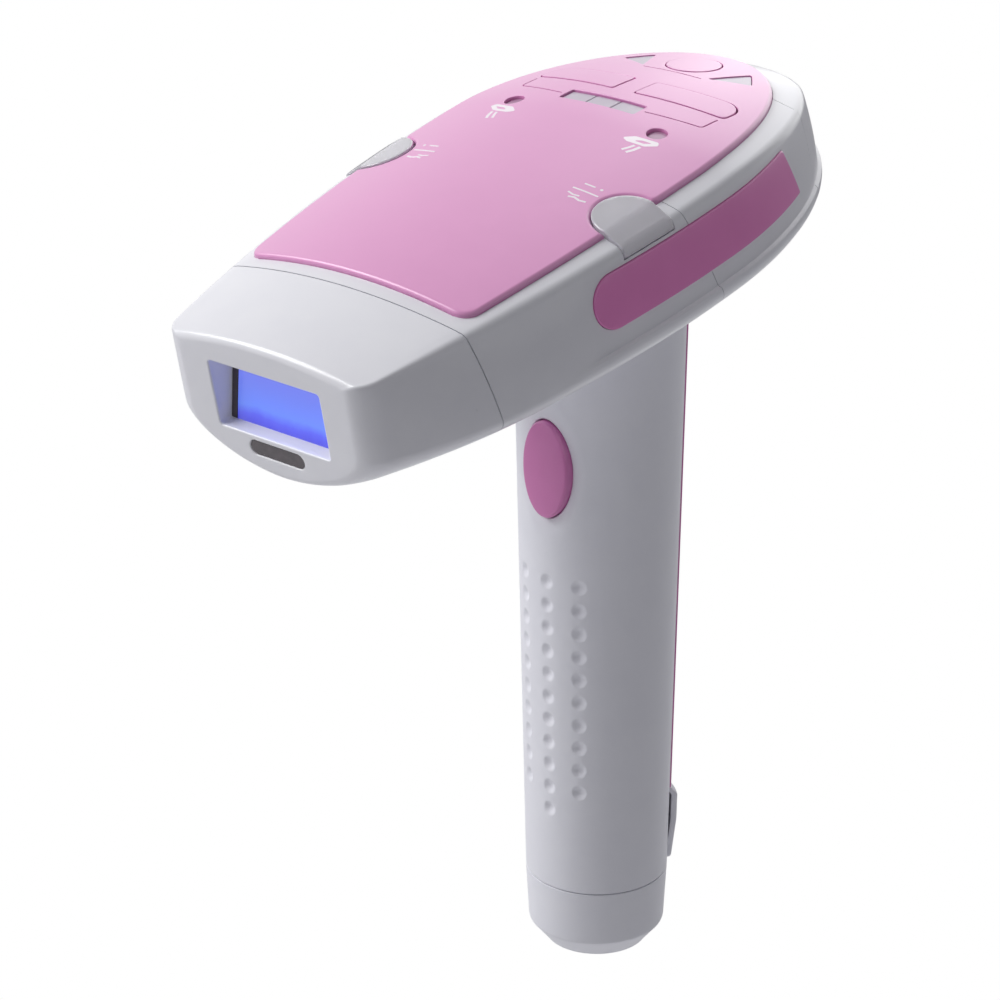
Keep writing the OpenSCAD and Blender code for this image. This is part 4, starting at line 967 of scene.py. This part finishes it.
# %% Printed marks beside the lights
PRINT = moulded("white_print", "#fff6fd", "#fbeef8", 0.35, 0.4, 0.002, coat=1.0)
STROKES = (([(20.6, -30.9), (24.0, -30.7), (27.4, -30.6)], 0.5),
           ([(21.8, -28.2), (24.7, -28.1)], 0.5),
           ([(20.8, -32.8), (22.4, -33.2), (24.0, -32.9)], 0.5),
           ([(22.0, -34.4), (23.4, -33.9), (25.0, -34.3), (26.6, -33.9)], 0.6),
           ([(20.6, -9.1), (20.1, -10.6), (19.3, -12.2)], 0.7),
           ([(22.1, -9.0), (21.6, -11.0), (20.8, -12.6)], 0.8))
LEAF = rounded([(16.0, -7.8), (18.3, -5.8), (24.2, -5.0), (25.0, -6.3), (22.6, -8.3), (18.0, -8.7)],
               [0.5, 1.0, 0.7, 0.5, 1.2, 0.8])
LEAF_HOLE = rounded([(18.9, -7.6), (20.6, -6.5), (23.4, -6.2), (21.8, -7.4)], [0.2, 0.3, 0.15, 0.3])
MARKS = [(groove(*stroke), []) for stroke in STROKES]
MARKS += [(circle((26.4, -28.1), 0.4, 16), []), (LEAF, [LEAF_HOLE])]
INK_TOP, INK_FOOT, INK_EDGE = 0.02, -0.06, 0.01
print_work = bmesh.new()
for _, turn in SIDES:
    for loop, gaps in MARKS:
        join(print_work, plate(turn(loop), [turn(gap) for gap in gaps], on_panel, INK_TOP, INK_FOOT,
                               edges=(INK_EDGE,), pitch=1.5, steps=1))
marks = finish_mesh("printed_marks", mesh_from("printed_marks", print_work, HEAD), PRINT, "housing")
print("faces of the printed marks:", len(marks.data.polygons))

# %% Ready lights that fold over the shoulder
def on_lens(b, y, d):
    """Point of the ready light: b runs from the panel over the shoulder and down the side."""
    line, z = half_line(y, 0.0, 0.0), edge_z(y)
    if b <= 0.0:
        return (line + b, y, panel_z(line + b, y) + d)
    if b <= LENS_FOLD:
        t = b / LENS_FOLD
        return (line + (shoulder_half(y) - line) * t + d * (1.0 - LENS_LEAN) * t, y,
                z + (shoulder_z(y) - z) * t + d * (1.0 - LENS_LEAN * t))
    low = shoulder_z(y) - b + LENS_FOLD
    t = max(0.0, 1.0 - (b - LENS_FOLD) / LENS_TURN)
    return (side_x(y, low) + d * (1.0 - LENS_LEAN * t), y, low + d * (1.0 - LENS_LEAN) * t)


def flipped(place):
    """The same surface on the left side."""
    return lambda a, b, d: tuple(c * s for c, s in zip(place(a, b, d), (-1.0, 1.0, 1.0)))


reach = LENS_FOLD + FLAP
lens_loop = [(-LENS_R * math.sin(t), LENS_Y - LENS_R * math.cos(t))
             for t in between(0.0, math.pi, 36)]
lens_loop += [(b, LENS_Y + LENS_R) for b in between(0.0, reach, 18)[1:]]
lens_loop += [(reach, y) for y in between(LENS_Y + LENS_R, LENS_Y - LENS_R, 16)[1:]]
lens_loop += [(b, LENS_Y - LENS_R) for b in between(reach, 0.0, 18)[1:-1]]
for side, place in (("right", on_lens), ("left", flipped(on_lens))):
    light = plate(lens_loop, [], place, LENS_PROUD, -LENS_T, edges=(0.4,), pitch=1.0)
    shape("ready_light_" + side, light, CLEAR, "housing", ["ready_lens_" + side])
print("ready light reach in mm:", round(reach, 2))

# %% Side inlays
def on_side(y, z, d):
    return (side_x(y, z) + d, y, z)


inlay_bend = -INLAY_FRONT + INLAY_HALF
inlay_loop = [(inlay_bend - INLAY_HALF * math.sin(t), INLAY_MID + INLAY_HALF * math.cos(t))
              for t in between(0.0, math.pi, 36)]
rear_low, rear_high = INLAY_REAR + SLANT * INLAY_HALF, INLAY_REAR - SLANT * INLAY_HALF
inlay_loop += [(y, INLAY_LOW) for y in between(inlay_bend, rear_low - 0.5, 30)[1:]]
inlay_loop += [(rear_low - 0.1, INLAY_LOW + 0.15)]
inlay_loop += [(rear_low + (rear_high - rear_low) * t, INLAY_LOW + 2 * INLAY_HALF * t)
               for t in between(0.04, 0.96, 12)]
inlay_loop += [(rear_high - 0.1, INLAY_TOP - 0.1)]
inlay_loop += [(y, INLAY_TOP) for y in between(rear_high - 0.6, inlay_bend, 28)[:-1]]
for side, place in (("right", on_side), ("left", flipped(on_side))):
    inlay = plate(inlay_loop, [], place, INLAY_PROUD, INLAY_PROUD - INLAY_T,
                  edges=(0.3,), pitch=1.8)
    shape("inlay_" + side, inlay, INLAY_PINK_PAINTED_LIGHT, "housing", ["side_inlay_" + side])
print("inlay length in mm:", round(rear_low + INLAY_FRONT, 1))

# %% [markdown]
# ## Grip
# The grip is a cone that opens towards the head. It is built flat, as if unrolled, with the
# trigger's opening as a hole and extra points where the dimples are pressed in, and then
# rolled up round its axis. The back strip and the boss below it are plates on the same cone.

# %% The rolled-up surface
ROLL_R, CAP_SEAM, STRIP_LOW, STRIP_TOP, NECK_TOP = 20.0, 19.5, 40.0, 175.5, 184.0
TRIGGER_Z, TRIGGER_W, TRIGGER_H, TRIGGER_GAP = 132.0, 13.8, 24.5, 0.3
SEAM_R, TAPER = 17.7, 3.0
DIMPLE_TOP, DIMPLE_STEP, DIMPLE_TURN = 103.0, 6.13, math.radians(26.0)
DIMPLE_R, DIMPLE_DEEP, DISH_DEEP, DISH_RUN = 2.1, 0.75, 0.4, 0.45
DIMPLES = [(0.0, DIMPLE_TOP - DIMPLE_STEP * i) for i in range(11)]
DIMPLES += [(side * DIMPLE_TURN * ROLL_R, DIMPLE_TOP - DIMPLE_STEP * i)
            for i in range(10) for side in (-1, 1)]
GRIP = Matrix.Identity(4)


def grip_r(z):
    return SEAM_R + TAPER * (z - CAP_SEAM) / (STRIP_TOP - CAP_SEAM)


dimple_tree = search_tree(DIMPLES)


def press(a, z):
    """Depth of the dimples and of the dish round the trigger."""
    away = dimple_tree.find((a, z, 0.0))[2]
    depth = DIMPLE_DEEP * max(0.0, 1.0 - (away / DIMPLE_R) ** 2) ** 1.5
    x = ROLL_R * math.sin(max(-1.5, min(1.5, a / ROLL_R)))
    ring = math.hypot(x / (TRIGGER_W / 2), (z - TRIGGER_Z) / (TRIGGER_H / 2))
    if ring < 1.0 + DISH_RUN:
        depth += DISH_DEEP * max(0.0, 1.0 - ((ring - 1.0) / DISH_RUN) ** 2) ** 2
    return depth


def on_grip(a, z, d):
    """Point of the grip: a runs round it from its front, d stands out."""
    r = grip_r(z) - press(a, z) + d
    return (r * math.sin(a / ROLL_R), -r * math.cos(a / ROLL_R), z)


def on_back(a, z, d):
    """Point of the grip's back, without dimples: a runs from its middle."""
    r = grip_r(z) + d
    return (-r * math.sin(a / ROLL_R), r * math.cos(a / ROLL_R), z)


print("grip radius at its ends in mm:", grip_r(CAP_SEAM), round(grip_r(NECK_TOP), 2))

# %% Grip shell with its boss
SHELL_LOW, half_turn = CAP_SEAM + 0.2, math.pi * ROLL_R
flat = [(a, SHELL_LOW) for a in between(-half_turn, half_turn, 96)]
flat += [(half_turn, z) for z in between(SHELL_LOW, NECK_TOP, 60)[1:]]
flat += [(a, NECK_TOP) for a in between(half_turn, -half_turn, 96)[1:]]
flat += [(-half_turn, z) for z in between(NECK_TOP, SHELL_LOW, 60)[1:-1]]
opening = []
for x, z in circle((0.0, 0.0), 1.0, 64):
    z = TRIGGER_Z + (TRIGGER_H / 2 + TRIGGER_GAP) * z
    opening.append((ROLL_R * math.asin((TRIGGER_W / 2 + TRIGGER_GAP) * x / grip_r(z)), z))
near = [spot for centre in DIMPLES for r in (0.4, 0.8, 1.1, 1.4, 1.7, 2.0, 2.3)
        for spot in circle(centre, r, 15)]
dish = [(a * s, TRIGGER_Z + (z - TRIGGER_Z) * s)
        for a, z in opening for s in (1.08, 1.16, 1.24, 1.32, 1.4, 1.48)]
grip_work = plate(flat, [opening], on_grip, 0.0, -WALL, edges=(0.25, 0.4), pitch=2.0,
                  extra=near + DIMPLES + dish)
BOSS_LOW, BOSS_TOP, BOSS_RISE, BOSS_RUN, BOSS_BEND = 19.75, 39.85, 1.1, 11.0, 37.8


def on_boss(a, z, d):
    """Point of the boss, which rises from its foot and falls away at its top."""
    rise = BOSS_RISE + BOSS_RISE * min(1.0, (z - SHELL_LOW) / BOSS_RUN)
    if z > BOSS_BEND:
        rise = 2 * BOSS_RISE - 1.8 * (z - BOSS_BEND) / (BOSS_TOP - BOSS_BEND)
    return on_back(a, z, rise + d)


def on_back_box(half_deg, low, high, radii):
    """Outline of a box on the grip's back, as wide as twice an angle."""
    half = math.radians(half_deg) * ROLL_R
    return rounded([(-half, low), (half, low), (half, high), (-half, high)], radii)


join(grip_work, plate(on_back_box(46.0, BOSS_LOW, BOSS_TOP, [1.2, 1.2, 1.0, 1.0]), [], on_boss,
                      0.0, -1.5, edges=(0.7,), pitch=1.4))
grip = shape("grip_moulding", grip_work, GRIP_WHITE, "housing", ["handle_shell"], GRIP)
print("faces of the grip:", len(grip.data.polygons))

# %% Back strip and trigger
STRIP_UP, STRIP_DOWN, TRIGGER_UP, TRIGGER_DOWN, FACE_R, FACE_FALL = 0.4, -0.8, 0.9, -4.5, 60.0, 0.25
strip = plate(on_back_box(50.0, STRIP_LOW, STRIP_TOP, [1.0] * 4), [], on_back, STRIP_UP, STRIP_DOWN,
              edges=(0.35,), pitch=3.0)
shape("strip_moulding", strip, SOFT_PINK, "housing", ["handle_back_strip"], GRIP)


def on_trigger(x, z, d):
    """Oval key with a nearly flat face that falls a little towards its rim."""
    ring = (x / (TRIGGER_W / 2)) ** 2 + ((z - TRIGGER_Z) / (TRIGGER_H / 2)) ** 2
    back = x * x / (2 * FACE_R) + FACE_FALL * ring * ring
    return (x, -grip_r(TRIGGER_Z) - TRIGGER_UP + back - d, z)


oval = [(TRIGGER_W / 2 * x, TRIGGER_Z + TRIGGER_H / 2 * z) for x, z in circle((0.0, 0.0), 1.0, 72)]
trigger = plate(oval, [], on_trigger, 0.0, TRIGGER_DOWN, edges=(0.7,), pitch=1.4)
shape("trigger_cap", trigger, PINK, "trigger", ["trigger_button"], GRIP)
print("trigger outline points:", len(oval))

# %% End cap of the grip
def under(x, y, d):
    """Point of the foot, which faces down."""
    return (x, y, -d)


FOOT_R, FOOT_EDGE, INLET_R, SCREW_X, SCREW_R, HOLE_DEEP = 12.9, 0.3, 4.65, 9.5, 2.35, 3.0
BEVEL_OUT, BEVEL_UP, CAP_R, CAP_Z, CAP_OUT, CAP_UP = 4.0, 4.9, 17.0, 5.8, 0.7, 13.4
cap_end = bmesh.new()
foot_holes = [circle((0.0, 0.0), INLET_R)] + both(circle((SCREW_X, 0.0), SCREW_R, 32))
foot_rows = plate(circle((0.0, 0.0), FOOT_R, 96), foot_holes, under, 0.0, -FOOT_EDGE,
                  edges=(FOOT_EDGE, 0.25, 0.2), pitch=3.0, work=cap_end)
outline, row = foot_rows[0]
profile = [(FOOT_R + BEVEL_OUT * t, FOOT_EDGE + BEVEL_UP * t) for t in between(0.06, 0.97, 8)]
profile += [(16.87, 5.25), (16.95, 5.5), (CAP_R, CAP_Z)]
profile += [(CAP_R + CAP_OUT * t, CAP_Z + CAP_UP * t) for t in between(0.1, 1.0, 6)]
profile += [(17.66, 19.38), (17.5, CAP_SEAM), (15.2, CAP_SEAM), (15.0, 23.0)]
for r, z in profile:
    lower = [cap_end.verts.new((x * r / FOOT_R, y * r / FOOT_R, z)) for x, y in outline]
    band(cap_end, row, lower)
    row = lower
for loop, row in foot_rows[1:]:
    band(cap_end, row, [cap_end.verts.new((x, y, HOLE_DEEP)) for x, y in loop])
shape("end_cap_moulding", cap_end, GRIP_WHITE, "housing", ["handle_end_cap"], GRIP)
print("end cap radius in mm:", FOOT_R)

# %% [markdown]
# ## What lies inside
# The frame's own nodes stay where nothing was modelled over them: the cartridge's sensor, its
# plug and socket, the fan, the board and the parts in the grip. They get a material by the
# slot that the record names, and a small bevel so that edges catch light. Only the filter
# glass is made anew, because it leans in its funnel between two dark strips that are painted
# shade on the funnel's side walls. The glass itself has a painted glow.

# %% The pane in its funnel
PANE_SPAN = (WINDOW_Z - WINDOW_H / 2, WINDOW_Z + WINDOW_H / 2)
PANE_DEEP, PANE_T, SHADE_STRIP_W, PANE_GAP = (3.0, 6.3), 1.8, 1.7, 0.05


def pane_depth(z):
    """Depth of the pane's front behind the face: it leans forward at its foot."""
    share = (z - PANE_SPAN[0]) / (PANE_SPAN[1] - PANE_SPAN[0])
    return PANE_DEEP[0] + (PANE_DEEP[1] - PANE_DEEP[0]) * share


def on_pane(x, z, d):
    return on_face(x, z, d - pane_depth(z))


def pane_side(inward):
    """Low and high corner of a pane that ends a length inward from the funnel's right wall."""
    corners = []
    for z in PANE_SPAN:
        draft = FUNNEL_DRAFT * (pane_depth(z) - FACE_ROUND) / (FUNNEL_DEEP - FACE_ROUND) + PANE_GAP
        corners.append((WINDOW_W / 2 - draft - inward, z + math.copysign(draft, WINDOW_Z - z)))
    return corners


print("pane depth at its foot and top in mm:", PANE_DEEP)

# %% Inner materials
PANE_FOOT, PANE_TALL, CLOUD_MM, DRIFT = 0.1665, 0.0145, 5.0, 0.002
TINTS = ((0.0, "#4340cc"), (0.2, "#5a62ee"), (0.34, "#6c8cff"), (1.0, "#7f88f6"))


def filter_glass():
    """Blue filter glass with a painted glow, though it is no lamp; deeper blue at its foot."""
    made, tree, shader, place = material("filter_glass")
    apart = add(tree, "ShaderNodeSeparateXYZ", [(0, place, "Object")])
    cloud = add(tree, "ShaderNodeTexNoise", [("Vector", place, "Object")],
                Scale=1.0 / (CLOUD_MM * MM), Detail=3.0)
    drift = add(tree, "ShaderNodeMath", [(0, cloud, "Fac"), (2, apart, "Z")],
                operation="MULTIPLY_ADD")
    drift.inputs[1].default_value = DRIFT
    height = add(tree, "ShaderNodeMapRange", [("Value", drift, 0)],
                 From_Min=PANE_FOOT, From_Max=PANE_FOOT + PANE_TALL)
    tint = add(tree, "ShaderNodeValToRGB", [("Fac", height, 0)])
    stops = tint.color_ramp.elements
    stops[0].color, stops[1].color = colour(TINTS[0][1]), colour(TINTS[-1][1])
    for spot, web in TINTS[1:-1]:
        stops.new(spot).color = colour(web)
    # Painted glow: the tint is also given out as light, so the pane lights its funnel.
    add(tree, shader, [("Base Color", tint, 0), ("Emission Color", tint, 0)],
        Emission_Strength=0.5, Roughness=0.06, Coat_Weight=0.6)
    return made


# Painted shade: the dark strips beside the pane stand for the shade on the funnel's side walls.
SHADE_STRIP_BLACK = moulded("black_silicone", "#4a4048", "#3a343c", 0.55, 0.5, 0.01)
METAL = {"Metallic": 1.0}
LOOKS = {"filter_glass": filter_glass(), "dark_polycarbonate": DARK}
for name, web, shade, rough, grain, relief, values in (
        ("aluminium_sheet", "#d9dade", "#cfd1d6", 0.22, 0.3, 0.004, METAL),
        ("lamp_glass", "#f2f6fb", "#eaf0f8", 0.06, 2.0, 0.001, {"Transmission_Weight": 0.8}),
        ("brass_contact", "#c9a35a", "#bb9450", 0.28, 0.3, 0.003, METAL),
        ("black_nylon", "#2c2c30", "#242428", 0.5, 0.35, 0.02, {}),
        ("grip_frame_abs", "#d5d5da", "#cbcbd2", 0.45, 0.5, 0.01, {}),
        ("capacitor_sleeve", "#26305c", "#202a52", 0.3, 1.2, 0.006, {}),
        ("circuit_board", "#1f5b38", "#1a4f30", 0.38, 0.8, 0.01, {"mottle_mm": 1.6}),
        ("led_epoxy", "#eceff4", "#e2e6ee", 0.2, 0.8, 0.002, {"Transmission_Weight": 0.4}),
        ("ferrite", "#3b3a3d", "#333236", 0.6, 0.3, 0.02, {}),
        ("coil_tape", "#c9a24a", "#bd9540", 0.35, 1.0, 0.01, {}),
        ("screw_steel", "#b9bbc0", "#adb0b6", 0.3, 0.25, 0.004, METAL)):
    LOOKS[name] = moulded(name, web, shade, rough, grain, relief, **values)
print("inner materials:", len(LOOKS))

# %% Pane and painted shade strips
pane_loop = pane_side(SHADE_STRIP_W + GAP)
pane_loop += mirrored(pane_loop[::-1])
pane = plate(pane_loop, [], on_pane, 0.0, -PANE_T, edges=(0.12,), pitch=2.0)
shape("filter_pane", pane, LOOKS["filter_glass"], "cartridge", ["filter_glass"])
# Painted shade: one dark strip on each side wall of the funnel, beside the pane.
shade_strip_loop = pane_side(0.0) + pane_side(SHADE_STRIP_W)[::-1]
for side, turn in SIDES:
    liner = plate(turn(shade_strip_loop), [], on_pane, 0.0, -PANE_T, edges=(0.1,), pitch=1.0)
    finish_mesh("window_liner_" + side, mesh_from("liner", liner, HEAD), SHADE_STRIP_BLACK, "cartridge")
print("pane corners in mm:", [tuple(round(c, 1) for c in p) for p in pane_loop])

# %% Dress the remaining nodes
dressed = 0
for name, item in frame["nodes"].items():
    if SLOTS[name] in LOOKS:
        item.data.materials.clear()
        item.data.materials.append(LOOKS[SLOTS[name]])
        soft = item.modifiers.new("soft_edges", "BEVEL")
        soft.width, soft.segments, soft.limit_method = 0.15 * MM, 2, "ANGLE"
        dressed += 1
print("dressed nodes:", dressed)

# %% [markdown]
# ## Studio
# A pale floor far below and a wide soft lamp from the upper left give the gentle shading of a
# product picture. Two weaker lamps lift the back of the head and the face of the nose. The
# surroundings look white to the camera, in reflections and through clear pieces, while the
# light that they give is kept lower.

# %% Surroundings and lamps
world = bpy.data.worlds.new("studio")
bpy.context.scene.world = world
world.use_nodes = True
sky = world.node_tree
sky.nodes.clear()
ray = add(sky, "ShaderNodeLightPath")
seen = add(sky, "ShaderNodeMath", [(0, ray, "Is Camera Ray"), (1, ray, "Is Glossy Ray")],
           operation="MAXIMUM")
seen = add(sky, "ShaderNodeMath", [(0, seen, 0), (1, ray, "Is Transmission Ray")],
           operation="MAXIMUM")
dim = add(sky, "ShaderNodeBackground", Color=colour("#f4f4fa"), Strength=0.195)
bright = add(sky, "ShaderNodeBackground", Color=(1.0, 1.0, 1.0, 1.0), Strength=1.0)
blend = add(sky, "ShaderNodeMixShader", [(0, seen, 0), (1, dim, 0), (2, bright, 0)])
add(sky, "ShaderNodeOutputWorld", [("Surface", blend, 0)])


def lamp(name, at, target, size, watts):
    """Square white area lamp that faces a point, in metres."""
    data = bpy.data.lights.new(name, "AREA")
    data.size = size
    data.energy = watts
    made = new_object(name, data)
    made.location = at
    made.rotation_euler = (Vector(target) - Vector(at)).to_track_quat("-Z", "Y").to_euler()


lamp("key", (-0.78, -0.58, 1.05), (0.0, -0.02, 0.15), 0.7, 13.0)
lamp("back", (-0.2, 1.0, 0.72), (0.0, 0.03, 0.2), 1.1, 5.0)
lamp("face", (-0.55, -1.0, 0.1), (0.0, -0.1, 0.17), 0.5, 0.6)

print("lamps:", len(bpy.data.lights))

# %% Paper floor
FLOOR_HALF, FLOOR_Z = 6.0, -0.3
floor_mesh = bpy.data.meshes.new("floor")
floor_mesh.from_pydata([(x * FLOOR_HALF, y * FLOOR_HALF, FLOOR_Z) for x, y in QUARTERS], [],
                       [(0, 1, 2, 3)])
floor = new_object("floor", floor_mesh)
paper, tree, shader, place = material("paper_floor")
fibre = add(tree, "ShaderNodeTexNoise", [("Vector", place, "Object")], Scale=400.0)
dents = add(tree, "ShaderNodeBump", [("Height", fibre, "Fac")], Strength=0.1, Distance=0.0002)
add(tree, shader, [("Normal", dents, 0)], Base_Color=colour("#f6f6f8"), Roughness=0.9)
ray = add(tree, "ShaderNodeLightPath")
glow = add(tree, "ShaderNodeEmission", Color=(1.0, 1.0, 1.0, 1.0), Strength=1.0)
mix = add(tree, "ShaderNodeMixShader", [(0, ray, "Is Camera Ray"), (1, shader, 0), (2, glow, 0)])
add(tree, tree.nodes["Material Output"], [("Surface", mix, 0)])
floor_mesh.materials.append(paper)
bpy.context.scene.view_settings.view_transform = "Standard"
print("floor height in metres:", FLOOR_Z)
